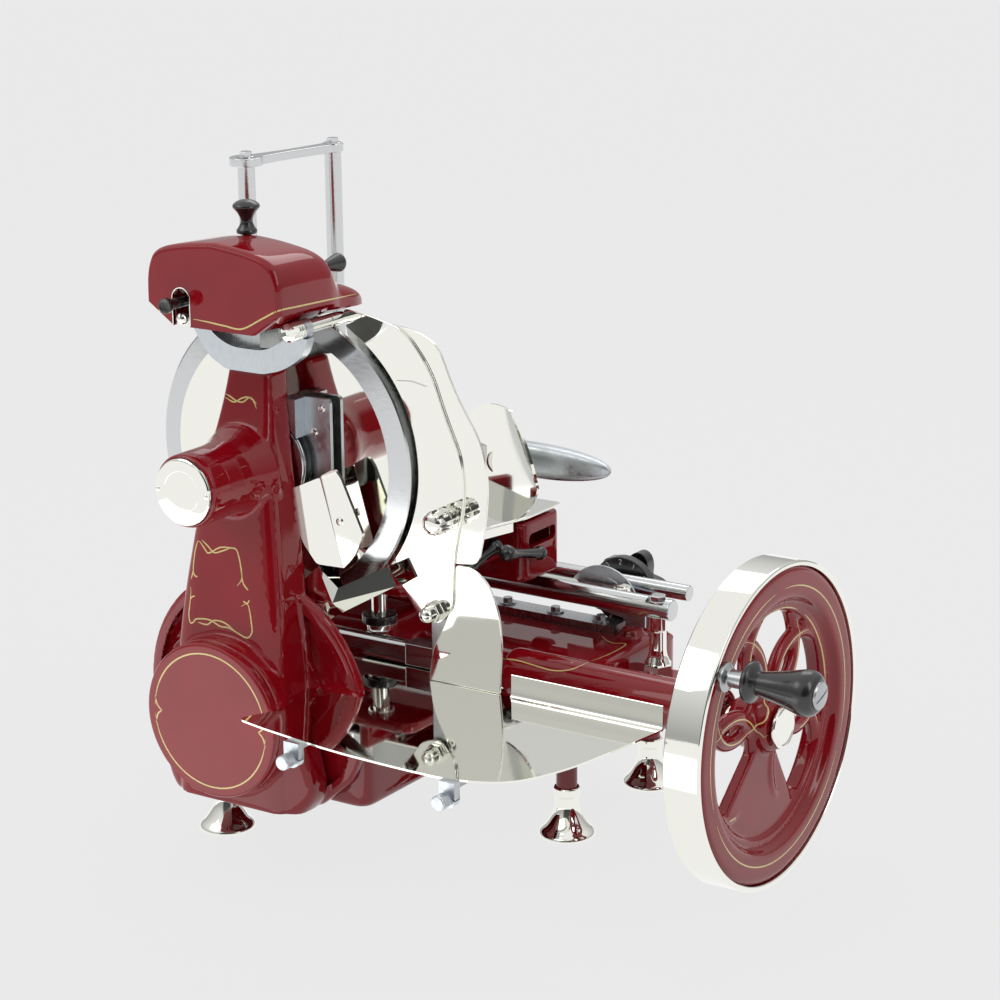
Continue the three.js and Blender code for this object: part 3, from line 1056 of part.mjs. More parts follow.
// Sharpener head on the column top, carrying two stones and the rear knob
function sharpenerHead() {
  const h = head
  const ck = coneKnob
  const [low, high] = [crown + h.armLow, crown + h.armHigh]
  const [reachLow, reachHigh] = [crown + h.reachLow, crown + h.reachHigh]
  const cone = [[0, ck.start], [ck.small, ck.start], [ck.small, ck.end - ck.stem], [ck.big, ck.end - ck.edge],
    [ck.big - ck.face, ck.end], [0, ck.end]]
  let body = join(
    block(h.left, h.right, h.front, h.back, headSeat, crown + h.high),
    block(h.armLeft, h.armRight, h.back - sink, h.armBack, low, high),
    block(h.armRight - h.armWide, h.armRight, h.armBack - h.armDeep, h.armBack, crown + stones[1][2] - stone.under,
      high),
    block(h.right - sink, h.reach, h.reachFront, h.reachBack, reachLow, reachHigh - h.reachStep),
    block(h.reach - h.reachEnd, h.reach, h.reachFront, h.reachBack, reachLow, reachHigh),
    bar(h.post, crown + h.high - sink, crown + h.postTop, 'z', topKnob.x, topKnob.y, 0, coarse),
    turned(cone, 'y', ck.x, 0, crown + ck.z, coarse),
  )
  for (const [x, y, z, way] of stones) {
    const from = way < 0 ? h.back - sink : y
    const to = way < 0 ? y + stone.thick : h.armBack - h.pinStop
    body = body.add(bar(stone.pin, from, to, 'y', x, 0, crown + z, few))
  }
  return body
}
node('sharpener_head', sharpenerHead(), steel)
stones.forEach(([x, y, z], i) => {
  const bored = stone.pin + seam
  const end = y + stone.thick
  const profile = [[bored, y + seam], [stone.radius, y + seam], [stone.radius, end - stone.taper],
    [stone.radius - stone.taper, end], [bored, end], [bored, y + seam]]
  node(`grinding_stone_${i + 1}`, turned(profile, 'y', x, 0, crown + z, stone.sides), abrasive)
})

// Knobs of the sharpener
const tk = topKnob
const seat = crown + tk.seat
const knobFoot = crown + head.postTop + seam
const topProfile = [[0, knobFoot], [tk.stem, knobFoot], [tk.stem, seat], [tk.flange, seat],
  [tk.flange, seat + tk.flangeHigh], [tk.waist, seat + tk.waistLow], [tk.waist, seat + tk.waistHigh],
  [tk.rim, seat + tk.rimLow], [tk.rim, seat + tk.rimHigh], [tk.rim - tk.dome, seat + tk.high], [0, seat + tk.high]]
node('cover_knob', turned(topProfile, 'z', tk.x, tk.y, 0, tk.sides), black)
const sk = sideKnob
const stemFront = head.front - sk.inside
const sideProfile = [[0, sk.end], [sk.radius - sk.edge, sk.end], [sk.radius, sk.end + sk.edge],
  [sk.radius, sk.end + sk.flat], [sk.neck, sk.end + sk.waist], [sk.neck, stemFront], [sk.stem, stemFront],
  [sk.stem, head.front - seam], [0, head.front - seam]]
node('side_knob', turned(sideProfile, 'y', sk.x, 0, crown + sk.z, coarse), black)

// Slice thickness control: bracket with half disc, and the dial with its star knob
const ct = control
const halfDisc = new THREE.Shape()
halfDisc.absarc(ct.x, ct.z - ct.plateDrop, ct.plateRadius, 0, Math.PI, false)
halfDisc.closePath()
const controlBody = join(
  sheet(outline(controlBracket), 'xz', ct.plateBack - sink, ct.bracketBack - ct.plateBack + sink, 3),
  sheet(halfDisc, 'xz', ct.plateFront, ct.plateBack - ct.plateFront, coarse),
)
const dialStart = ct.plateBack + ct.shaftGap
node('control_bracket', cut(controlBody,
  bar(ct.shaft + seam, dialStart, ct.bracketBack + over, 'y', ct.x, 0, ct.z)), polished)
const dialProfile = [[0, dialStart + seam], [ct.shaft, dialStart + seam], [ct.shaft, ct.dialFront],
  [ct.dialRadius - chamfer, ct.dialFront], [ct.dialRadius, ct.dialFront + chamfer], [ct.dialRadius, ct.dialBack],
  [ct.neck, ct.dialBack], [ct.neck, ct.knobFront + sink], [0, ct.knobFront + sink]]
const star = new THREE.Shape()
for (let i = 0; i < ct.points; i += 1) {
  const angle = (i / ct.points) * 2 * Math.PI
  const wave = (Math.cos(angle * ct.lobes) + 1) / 2
  const r = ct.knobWaist + (ct.knobRadius - ct.knobWaist) * Math.sqrt(wave)
  const [x, z] = [ct.x + Math.cos(angle) * r, ct.z + Math.sin(angle) * r]
  if (i === 0) star.moveTo(x, z)
  else star.lineTo(x, z)
}
star.closePath()
node('thickness_knob', join(turned(dialProfile, 'y', ct.x, 0, ct.z, ct.dialSides),
  sheet(star, 'xz', ct.knobFront, ct.knobBack - ct.knobFront)), black)

// Move everything so that the middle of the footprint is the origin
const whole = new THREE.Box3().setFromObject(group)
const shift = whole.getCenter(new THREE.Vector3()).negate().setZ(-whole.min.z)
for (const made of group.children) made.geometry.translate(shift.x, shift.y, shift.z)

export default group
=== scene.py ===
# Looks of a hand-cranked meat slicer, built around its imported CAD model
import json
import math

import bmesh
import bpy
from mathutils import Matrix, Vector
from mathutils.bvhtree import BVHTree


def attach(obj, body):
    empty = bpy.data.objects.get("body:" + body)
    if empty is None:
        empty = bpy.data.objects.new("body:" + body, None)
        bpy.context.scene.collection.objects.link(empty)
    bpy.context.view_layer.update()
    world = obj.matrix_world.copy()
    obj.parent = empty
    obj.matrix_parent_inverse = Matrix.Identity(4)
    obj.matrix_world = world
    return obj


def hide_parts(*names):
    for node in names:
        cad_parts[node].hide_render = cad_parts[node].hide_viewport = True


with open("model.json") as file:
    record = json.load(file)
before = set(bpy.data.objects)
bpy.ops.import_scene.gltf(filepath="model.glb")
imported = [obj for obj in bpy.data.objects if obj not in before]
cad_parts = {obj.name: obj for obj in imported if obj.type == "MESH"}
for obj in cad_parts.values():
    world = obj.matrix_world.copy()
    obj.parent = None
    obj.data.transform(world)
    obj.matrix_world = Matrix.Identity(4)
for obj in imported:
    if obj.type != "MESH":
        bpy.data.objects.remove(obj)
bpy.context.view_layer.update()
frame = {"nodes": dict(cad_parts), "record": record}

# Units: sizes below are in millimetres, in the slicer's own frame with the blade axis at X = 0
MM = 0.001
SHIFT = (-160, -81.5, 0)
TO_FRAME = Matrix.Scale(MM, 4) @ Matrix.Translation(SHIFT)

# Camera solved from the photograph: place in mm, turns in degrees, lens and sensor in mm
CAMERA_PLACE = (1758.8, -2261.9, 1188)
AZIMUTH = 33.41
ELEVATION = 15.727
ROLL = -0.561
FOCAL_PX = 2839.13
PHOTO_PX = 1000
SENSOR = 36

# Main sizes shared by several pieces
BLADE_Z = 434
BLADE_RADIUS = 160
CROWN = BLADE_Z + BLADE_RADIUS
DRIVE_Z = 184
WHEEL_Y = 154
WHEEL_FACE = 504
WHEEL_RADIUS = 171
SLIDE_Y, SLIDE_Z = 282, 238
REACH_Y = 345
FEED_X, FEED_Z = 10, 311
TABLE_TOP = 334
TRAY_LOW = 214
SIDES = 128

# Colours as sRGB hex
RED = "860914"
GOLD = "e3cf86"
CHROME = "f0f0e9"
BLACK = "101010"
BACKGROUND = "ebebeb"


def place(x, y, z):
    """Point of the slicer's frame, in metres of the row frame"""
    return TO_FRAME @ Vector((x, y, z))


def linear(code):
    """Linear colour of an sRGB hex value"""
    parts = [int(code[i : i + 2], 16) / 255 for i in (0, 2, 4)]
    return [c / 12.92 if c <= 0.04045 else ((c + 0.055) / 1.055) ** 2.4 for c in parts] + [1]


def add(tree, kind, settings=None, links=None):
    """Node of a kind with its properties, input values and links"""
    made = tree.nodes.new(kind)
    for key, value in (settings or {}).items():
        if isinstance(key, str) and hasattr(made, key):
            setattr(made, key, value)
        else:
            made.inputs[key].default_value = value
    for key, socket in (links or {}).items():
        tree.links.new(socket, made.inputs[key])
    return made


def material(name, settings):
    """New material whose Principled shader has these settings"""
    made = bpy.data.materials.new(name)
    made.use_nodes = True
    tree = made.node_tree
    shader = tree.nodes["Principled BSDF"]
    for key, value in settings.items():
        shader.inputs[key].default_value = value
    return made, tree, shader


def bump(tree, shader, height, strength, distance, coat=False):
    """Bump on the shader's normal, distance in mm"""
    made = add(tree, "ShaderNodeBump", {"Strength": strength, "Distance": distance * MM}, {"Height": height})
    tree.links.new(made.outputs["Normal"], shader.inputs["Normal"])
    if coat:
        tree.links.new(made.outputs["Normal"], shader.inputs["Coat Normal"])


def noise(tree, size, detail=2, stretch=None):
    """Noise whose features have a size in mm, in the object's own coordinates"""
    where = add(tree, "ShaderNodeTexCoord").outputs["Object"]
    if stretch:
        where = add(tree, "ShaderNodeMapping", {"Scale": stretch}, {"Vector": where}).outputs["Vector"]
    return add(tree, "ShaderNodeTexNoise", {"Scale": 1 / (size * MM), "Detail": detail}, {"Vector": where}).outputs[0]


def ramp(tree, source, low, high, start=0.35, end=0.65):
    """Value from low to high as the source goes from start to end"""
    settings = {"From Min": start, "From Max": end, "To Min": low, "To Max": high}
    return add(tree, "ShaderNodeMapRange", settings, {"Value": source}).outputs["Result"]


def blend(tree, factor, low, high):
    """Colour between two hex colours"""
    made = add(tree, "ShaderNodeMix", {"data_type": "RGBA", 6: linear(low), 7: linear(high)}, {0: factor})
    return made.outputs[2]


def colour(tree, shader, factor, low, high):
    """Base colour between two hex colours"""
    tree.links.new(blend(tree, factor, low, high), shader.inputs["Base Color"])


def roughness(tree, shader, source, low, high):
    """Roughness from low to high as the source rises"""
    tree.links.new(ramp(tree, source, low, high), shader.inputs["Roughness"])


# Stove enamel on cast iron, sprayed and baked: deep gloss with the faint waviness of the casting under it
enamel, tree, shader = material("stove_enamel", {"Roughness": 0.55, "Specular IOR Level": 0, "Coat Weight": 1,
                                                 "Coat Roughness": 0.015})
tone = ramp(tree, noise(tree, 60, 1), 0, 1)
colour(tree, shader, tone, RED, "8e0b18")
bump(tree, shader, noise(tree, 30, 1), 0.1, 0.12, coat=True)

# Chrome plate over polished steel: near mirror, with slight smears from wiping
chrome, tree, shader = material("mirror_chrome", {"Base Color": linear(CHROME), "Metallic": 1})
roughness(tree, shader, noise(tree, 45, 3), 0.02, 0.06)

# Stainless steel, ground fine in one direction: soft streaks across the light
polished_steel, tree, shader = material("ground_stainless", {"Base Color": linear("cfd1d2"), "Metallic": 1})
streaks = noise(tree, 1.4, 3, (0.04, 1, 1))
roughness(tree, shader, streaks, 0.12, 0.22)
bump(tree, shader, streaks, 0.1, 0.02)

# Turned and milled steel: fine tool marks, a little dull
steel, tree, shader = material("machined_steel", {"Metallic": 1})
marks = noise(tree, 1.1, 3, (1, 1, 0.06))
colour(tree, shader, marks, "a5a8aa", "c2c4c6")
roughness(tree, shader, marks, 0.22, 0.36)

# Cast aluminium, brushed by hand: pale grey with crossing fine scratches
aluminium, tree, shader = material("brushed_aluminium", {"Metallic": 1})
scratches = noise(tree, 1.2, 3, (1, 1, 0.1))
colour(tree, shader, scratches, "b9c0c6", "d6dadd")
roughness(tree, shader, noise(tree, 6, 3), 0.3, 0.45)
bump(tree, shader, scratches, 0.15, 0.03)

# Blackened steel under a film of oil
dark_steel, tree, shader = material("blackened_steel", {"Metallic": 1})
film = noise(tree, 18, 3)
colour(tree, shader, film, "38393b", "606264")
roughness(tree, shader, film, 0.25, 0.42)

# Moulded phenolic resin, buffed: black with a soft broad gloss
black_plastic, tree, shader = material("phenolic_resin", {"IOR": 1.6, "Coat Weight": 0.3, "Coat Roughness": 0.1})
colour(tree, shader, noise(tree, 30, 2), BLACK, "1b1b1b")
roughness(tree, shader, noise(tree, 8, 2), 0.2, 0.3)

# Vitrified grinding wheel: grains of aluminium oxide about 0.4 mm across, drawn at 1 mm so that they show
abrasive, tree, shader = material("aluminium_oxide_grit", {"Roughness": 0.92})
grain = noise(tree, 1, 4)
colour(tree, shader, grain, "8f8b82", "cfcabf")
bump(tree, shader, grain, 0.8, 0.4)

# Signwriter's enamel, brushed by hand in pale gold
gold_paint, tree, shader = material("signwriters_gold", {"Roughness": 0.3, "Coat Weight": 0.6, "Coat Roughness": 0.08})
colour(tree, shader, noise(tree, 9, 2), "d8c27a", GOLD)

# White filling paint in engraved numbers: chalky, slightly uneven
white_paint, tree, shader = material("white_filling_paint", {"Roughness": 0.5})
colour(tree, shader, noise(tree, 3, 2), "cfcfca", "e6e6e2")

SLOTS = {
    "enamel": enamel,
    "chrome": chrome,
    "polished_steel": polished_steel,
    "steel": steel,
    "dark_steel": dark_steel,
    "black_plastic": black_plastic,
    "abrasive": abrasive,
}
SLOT_OF = {row["node"]: row["material_slot"] for row in frame["record"]["subparts"]}
BODY_OF = {n: body for body, group in frame["record"]["behaviour"]["bodies"].items() for n in group}


def modify(made, kind, **settings):
    """Modifier of a kind with its settings"""
    step = made.modifiers.new(kind.lower(), kind)
    for key, value in settings.items():
        setattr(step, key, value)


def soften(made, edge, angle=30):
    """Softened edges of a width in mm, with shading that leaves flat faces flat"""
    if edge:
        modify(made, "BEVEL", width=edge * MM, segments=2, limit_method="ANGLE", angle_limit=math.radians(angle))
    modify(made, "WEIGHTED_NORMAL", weight=70, keep_sharp=False)
    made.data.shade_smooth()


# Every carried-over CAD node: its finish, softened edges and smooth shading between them
for node_name, node in frame["nodes"].items():
    node.data.materials.clear()
    node.data.materials.append(SLOTS[SLOT_OF[node_name]])
    modify(node, "WELD", merge_threshold=0.00001)
    soften(node, 0.35)


def flowing(points, steps=6):
    """Points on a smooth curve through the given ones"""
    rows = [points[0]] + list(points) + [points[-1]]
    drawn = []
    for i in range(1, len(rows) - 2):
        a, b, c, d = rows[i - 1 : i + 3]
        for k in range(steps):
            t = k / steps
            drawn.append(tuple(
                q + 0.5 * t * (r - p + t * (2 * p - 5 * q + 4 * r - s + t * (3 * (q - r) + s - p)))
                for p, q, r, s in zip(a, b, c, d)))
    return drawn + [tuple(points[-1])]


def rounded(points, steps=8):
    """Outline through points a, b, corner; each corner is a curve that starts that far from it"""
    drawn = []
    for i, (a, b, corner) in enumerate(points):
        here = Vector((a, b))
        last = Vector(points[i - 1][:2]) - here
        ahead = Vector(points[(i + 1) % len(points)][:2]) - here
        cut = min(corner, last.length * 0.45, ahead.length * 0.45)
        if cut < 0.1:
            drawn.append((a, b))
            continue
        start = here + last.normalized() * cut
        end = here + ahead.normalized() * cut
        for k in range(steps + 1):
            t = k / steps
            drawn.append(tuple(start * (1 - t) ** 2 + here * 2 * t * (1 - t) + end * t * t))
    return drawn


def rectangle(a0, a1, b0, b1, corner):
    """Rectangle with one rounding"""
    return rounded([(a0, b0, corner), (a1, b0, corner), (a1, b1, corner), (a0, b1, corner)])


def polar(a, b, radius, turn):
    """Point at a radius and a turn in radians from a centre"""
    return a + radius * math.cos(turn), b + radius * math.sin(turn)


def disc(a, b, radius, start=0, end=360, steps=SIDES):
    """Points round a circle, or along an arc of it"""
    whole = end - start == 360
    count = steps if whole else max(4, int(steps * abs(end - start) / 360))
    turns = [math.radians(start + (end - start) * k / count) for k in range(count if whole else count + 1)]
    return [polar(a, b, radius, t) for t in turns]


def moved(pairs, radius=0, station=0):
    """Profile with its radii and stations counted from other zero points"""
    return [(r + radius, at + station) for r, at in pairs]


def skin(rings, closed=False, capped=True):
    """Closed mesh through rings of equally many points; one point stands for a tip"""
    made = bmesh.new()
    rows = [[made.verts.new(p) for p in ring] for ring in rings]
    pairs = list(zip(rows, rows[1:])) + ([(rows[-1], rows[0])] if closed else [])
    for one, two in pairs:
        count = max(len(one), len(two))
        for k in range(count):
            n = (k + 1) % count
            corners = [one[k % len(one)], one[n % len(one)], two[n % len(two)], two[k % len(two)]]
            corners = list(dict.fromkeys(corners))
            if len(corners) > 2:
                made.faces.new(corners)
    if capped and not closed:
        for row in (rows[0], rows[-1]):
            if len(row) > 2:
                made.faces.new(row)
    bmesh.ops.recalc_face_normals(made, faces=made.faces)
    return made


def sheet(points, plane, start, depth):
    """Flat part: an outline in a plane, thickened along the third direction"""
    lift = {"xz": lambda a, b, c: (a, c, b), "xy": lambda a, b, c: (a, b, c), "yz": lambda a, b, c: (c, a, b)}[plane]
    return skin([[lift(a, b, start + s) for a, b in points] for s in (0, depth)])


def turned(profile, axis, x, y, z, sides=SIDES):
    """Turned part: pairs of radius and station along an axis, from axis to axis or a closed ring"""
    closed = profile[0] == profile[-1]
    rings = []
    for radius, at in profile[:-1] if closed else profile:
        turns = [2 * math.pi * k / sides for k in range(sides)] if radius > 0.01 else [0]
        around = [polar(0, 0, radius, t) for t in turns]
        lift = {"x": lambda a, b: (at, y + a, z + b), "y": lambda a, b: (x + a, at, z + b),
                "z": lambda a, b: (x + a, y + b, at)}[axis]
        rings.append([lift(a, b) for a, b in around])
    return skin(rings, closed)


def bar(radius, start, end, axis, x, y, z, sides=64, edge=0.6):
    """Plain round or six-sided bar with its two rims broken"""
    profile = [(0, start), (radius - edge, start), (radius, start + edge), (radius, end - edge), (radius - edge, end),
               (0, end)]
    return turned(profile, axis, x, y, z, sides)


def block(x0, x1, y0, y1, z0, z1):
    """Box between corners"""
    return sheet([(x0, y0), (x1, y0), (x1, y1), (x0, y1)], "xy", z0, z1 - z0)


def pad(points, low, high, edge, steps=6):
    """Upright slab whose top and bottom edges are rounded over"""
    centre = Vector((sum(p[0] for p in points) / len(points), sum(p[1] for p in points) / len(points)))
    rings = []
    for base_z, way in ((low, 1), (high, -1)):
        side = []
        for k in range(steps + 1):
            t = math.pi / 2 * k / steps
            inset, rise = edge * (1 - math.sin(t)), edge * (1 - math.cos(t))
            ring = []
            for a, b in points:
                out = Vector((a, b)) - centre
                back = Vector((math.copysign(min(inset, abs(out.x)), out.x),
                               math.copysign(min(inset, abs(out.y)), out.y)))
                ring.append((a - back.x, b - back.y, base_z + way * rise))
            side.append(ring)
        rings += side if way > 0 else side[::-1]
    return skin(rings)


def loft(sections, power, sides=SIDES, steps=5):
    """Upright skin through sections of height, half width, front and back, squarish in plan"""
    rings = []
    for z, half, front, back in flowing(sections, steps):
        ring = []
        for k in range(sides):
            t = 2 * math.pi * k / sides
            c, s = math.cos(t), math.sin(t)
            size = (abs(c) ** power + abs(s) ** power) ** (-1 / power)
            ring.append((c * size * half, (front + back) / 2 + s * size * (back - front) / 2, z))
        rings.append(ring)
    return skin(rings)


def ball(radius, x, y, z):
    """Ball with its centre at the point"""
    made = bmesh.new()
    bmesh.ops.create_uvsphere(made, u_segments=40, v_segments=24, radius=radius, matrix=Matrix.Translation((x, y, z)))
    return made


def aimed(part, start, end):
    """Part drawn along +Z from the origin, turned and moved to lie from start towards end"""
    start, end = Vector(start), Vector(end)
    turn = (end - start).to_track_quat("Z", "Y").to_matrix().to_4x4()
    part.transform(Matrix.Translation(start) @ turn)
    return part


def solid(name, *parts):
    """Object made of closed meshes, moved into the row frame"""
    whole = bmesh.new()
    for part in parts:
        scratch = bpy.data.meshes.new("scratch")
        part.to_mesh(scratch)
        part.free()
        whole.from_mesh(scratch)
        bpy.data.meshes.remove(scratch)
    whole.transform(TO_FRAME)
    mesh = bpy.data.meshes.new(name)
    whole.to_mesh(mesh)
    whole.free()
    made = bpy.data.objects.new(name, mesh)
    bpy.context.scene.collection.objects.link(made)
    return made


def settle(made):
    """Modifiers baked into the piece's own mesh"""
    mesh = bpy.data.meshes.new_from_object(made.evaluated_get(bpy.context.evaluated_depsgraph_get()))
    made.modifiers.clear()
    made.data = mesh


def combine(made, operation, *parts):
    """Piece with parts cut away from it or joined to it"""
    for part in parts:
        other = solid("tool", part)
        modify(made, "BOOLEAN", operation=operation, object=other, solver="MANIFOLD")
        settle(made)
        bpy.data.objects.remove(other)
    return made


def cut(made, *parts):
    """Piece with parts cut away"""
    return combine(made, "DIFFERENCE", *parts)


def join(made, *parts):
    """Piece with parts joined to it"""
    return combine(made, "UNION", *parts)


def cast(name, grain_size, passes, *parts):
    """One casting: overlapping parts melted into a single skin whose edges and joints are rounded over"""
    made = solid(name, *parts)
    modify(made, "REMESH", mode="VOXEL", voxel_size=grain_size * MM)
    modify(made, "SMOOTH", factor=0.5, iterations=passes)
    settle(made)
    return made


def piece(made, *nodes, slot=None, body=None, edge=0.4, angle=30, look=None):
    """Finished piece: its look and soft edges, the body it rides on and the nodes it stands for"""
    slot = slot or SLOT_OF[nodes[0]]
    made.data.materials.clear()
    made.data.materials.append(look or SLOTS[slot])
    soften(made, edge, angle)
    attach(made, body or BODY_OF[nodes[0]])
    if nodes:
        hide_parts(*nodes)
    return made


def screw_head(radius, high, axis, x, y, z, way=-1):
    """Round screw head, domed, rising from its seat"""
    top = z if axis == "z" else y if axis == "y" else x
    profile = [(0, top - way), (radius, top - way), (radius, top + way * high * 0.5),
               (radius * 0.8, top + way * high * 0.85), (radius * 0.4, top + way * high), (0, top + way * high)]
    return turned(profile, axis, x, y, z, 32)


def slot_tool(radius, axis, x, y, z, way=-1, wide=0.9, deep=1, tilt=0):
    """Bar that cuts a driver slot across a screw head whose top is at the point"""
    made = bmesh.new()
    bmesh.ops.create_cube(made, size=1)
    size = {"y": (radius * 3, deep * 2, wide), "x": (deep * 2, radius * 3, wide),
            "z": (radius * 3, wide, deep * 2)}[axis]
    made.transform(Matrix.Translation((x, y, z)) @ Matrix.Rotation(math.radians(tilt), 4, axis.upper())
                   @ Matrix.Diagonal((*size, 1)))
    return made


# Blade: raised hub, a flat plate and its ground bevel, flat face towards the meat
BEVEL_IN = 136
blade_profile = [(0, -11), (25, -11), (38, -7.4), (42, -6), (BEVEL_IN, -6), (BEVEL_IN, -1), (0, -1)]
piece(solid("round_blade", turned(blade_profile, "y", 0, 0, BLADE_Z, 256)), "blade", edge=0.2, angle=12)
bevel = [(BEVEL_IN - 0.2, -5.9), (BEVEL_IN, -6.1), (BEVEL_IN + 0.6, -6), (BLADE_RADIUS - 2, -1.9), (BLADE_RADIUS, -0.8),
         (BLADE_RADIUS, -0.1), (BEVEL_IN - 0.2, -1), (BEVEL_IN - 0.2, -5.9)]
piece(solid("ground_bevel", turned(bevel, "y", 0, 0, BLADE_Z, 256)), slot="polished_steel", body="blade", edge=0.1,
      angle=12)

# Column: tapering box with barrel, drum and arched flange, cast in one, with bores cut after casting
COLUMN = [(84, 71, -114, -54), (100, 70, -114, -54), (190, 71, -116, -54), (250, 67, -112, -46), (300, 62, -106, -42),
          (350, 55, -99, -38), (434, 42, -86, -34), (500, 31, -68, -27), (537, 26, -60, -22)]
SKIRT = [(84, 84, -110, -56), (116, 96, -108, -56), (200, 74, -110, -56)]
CAVITY = [(120, 60, -81, -60), (185, 63, -81, -60), (250, 54, -81, -58), (350, 42, -81, -54), (434, 33, -80, -48),
          (468, 25, -76, -46)]
BARREL = 38
FLANGE = 139
side = math.degrees(math.atan2(116 - DRIVE_Z, 121))
arch = [(84, 84)] + disc(0, DRIVE_Z, FLANGE, side, 180 - side) + [(-84, 84)]
inner_arch = [(76, 92)] + disc(0, DRIVE_Z, FLANGE - 13, side, 180 - side) + [(-76, 92)]
barrel_profile = [(0, -166), (BARREL - 2.5, -166), (BARREL - 0.7, -165.3), (BARREL, -163.5), (BARREL, -118), (39, -104),
                  (42, -92), (47, -80), (50, -70), (0, -70)]
drum_profile = [(0, -130), (82.5, -130), (84, -128.5), (84, -118), (83, -108), (80, -98), (74, -88), (0, -80)]
column = cast("column_casting_skin", 2, 12,
              loft(COLUMN, 6.5), loft(SKIRT, 4), sheet(arch, "xz", -66, 14),
              turned(barrel_profile, "y", 0, 0, BLADE_Z), turned(drum_profile, "y", 0, 0, DRIVE_Z))
recess = sheet(inner_arch, "xz", -70, 12)
body_keep = loft([(z, half + 5, front, -40) for z, half, front, back in COLUMN], 4.6)
keeper = solid("keeper", recess)
cut(keeper, body_keep, turned([(0, -90), (92, -90), (92, -40), (0, -40)], "y", 0, 0, DRIVE_Z))
modify(column, "BOOLEAN", operation="DIFFERENCE", object=keeper, solver="MANIFOLD")
settle(column)
bpy.data.objects.remove(keeper)
modify(column, "SMOOTH", factor=0.5, iterations=4)
settle(column)
cut(column,
    bar(76, -131, -104, "y", 0, 0, DRIVE_Z), bar(64, -105, -62, "y", 0, 0, DRIVE_Z), loft(CAVITY, 3.4),
    bar(31, -79, -63, "y", 0, 0, BLADE_Z), bar(50.8, -32.3, 0, "y", 0, 0, BLADE_Z),
    block(19.7, 72.3, -34, 0, 402, 506.3), bar(15, -162, -12, "y", 0, 0, BLADE_Z),
    bar(BARREL - 3, -167, -162, "y", 0, 0, BLADE_Z), bar(10.5, -63, -51, "y", 0, 0, DRIVE_Z))
piece(column, "column_casting", edge=0.5, angle=50)

# Base: two slabs with rounded-over edges, nose, ledge and gear house, cast in one and hollow underneath
base = cast("base_casting_skin", 2.4, 10,
            pad(rectangle(-132, 132, -52, 184, 17), 82, 180, 9), pad(rectangle(-132, 258, 150, 385, 34), 82, 188, 9),
            pad(rectangle(232, 314, 222, 342, 26), 118, 150, 7), pad(rectangle(-56, 58, 92, 216, 20), 82, 236, 8),
            bar(27, 180, 440, "x", 0, WHEEL_Y, DRIVE_Z, edge=2), bar(20, 51, 188, "x", 0, WHEEL_Y, DRIVE_Z),
            bar(13.5, 89, 197, "z", 232, 316, 0, edge=2))
cut(base,
    pad(rectangle(-124, 124, -44, 184, 17), 0, 171, 7), pad(rectangle(-124, 250, 158, 346, 34), 0, 179, 7),
    block(-140, 270, 356, 390, 174, 200), pad(rectangle(-49, 51, 99, 209, 10), 0, 229, 3))
join(base, bar(27, 223, 258, "x", 0, WHEEL_Y, DRIVE_Z))
FEET = [(-95, -1), (233, 177), (233, 355), (-95, 355)]
for x, y in FEET:
    join(base, bar(11.5, 50, 184 if y > 150 else 176, "z", x, y, 0))
cut(base, bar(13, 0, 448, "x", 0, WHEEL_Y, DRIVE_Z), block(0, 180, 141, 167, 160, DRIVE_Z),
    bar(10.5, -60, 106, "y", 0, 0, DRIVE_Z))
piece(base, "base_casting", edge=0.5, angle=50)

# Feet: bells spun from brass tube and plated
bell = flowing([(30.2, 0.2), (31, 2.2), (29.6, 5.4), (24.5, 11), (19.8, 18), (15.6, 26), (13.4, 33.5), (13, 38)], 5)
foot_profile = [(0, 0), (29.5, 0)] + bell + [(13, 45), (14.5, 47.5), (14.5, 54.8), (13.5, 56), (11.8, 56), (11.8, 50),
                                             (0, 50)]
for i, (x, y) in enumerate(FEET, 1):
    piece(solid(f"bell_foot_{i}", turned(foot_profile, "z", x, y, 0)), f"foot_{i}", edge=0.3)

# Round cover over the drive, and the polished cap on the hub with its two screws
cover_profile = [(0, -140), (79, -140), (81.4, -139.2), (82.6, -137.6), (83, -135.5), (83, -130), (75.5, -130),
                 (75.5, -124), (0, -124)]
drive_disc = piece(solid("round_drive_cover", turned(cover_profile, "y", 0, 0, DRIVE_Z, 192)), "drive_cover", edge=0.3,
                   angle=20)
cap_profile = [(0, -170.6), (14, -170.4), (21, -170.1), (21.4, -169.9), (21.8, -170.1), (30, -169.6), (33.2, -169),
               (34.3, -168), (34.5, -166.8), (34.5, -162.3), (0, -162.3)]
cap = solid("hub_end_cap", turned(cap_profile, "y", 0, 0, BLADE_Z, 192))
for x in (-30.5, 30.5):
    join(cap, screw_head(2.4, 1.1, "y", x, -169.4, BLADE_Z))
    cut(cap, slot_tool(2.4, "y", x, -170.6, BLADE_Z, wide=0.7, deep=0.6, tilt=35))
piece(cap, "hub_cap", edge=0.25)

# Flywheel: ring, interlaced loops, fan and hub in one casting inside a polished band
RIM_IN = WHEEL_RADIUS - 55
RIM_OUT = WHEEL_RADIUS - 6.3
web_front, web_back = WHEEL_FACE - 14, WHEEL_FACE - 30


# Loops of the web: how far their centres lie from the axle, and the mean radius of their strand
LOOP_OUT, LOOP_RADIUS = 78, 52
LOOP_TURNS = [80 + 60 * i for i in range(-2, 3)]


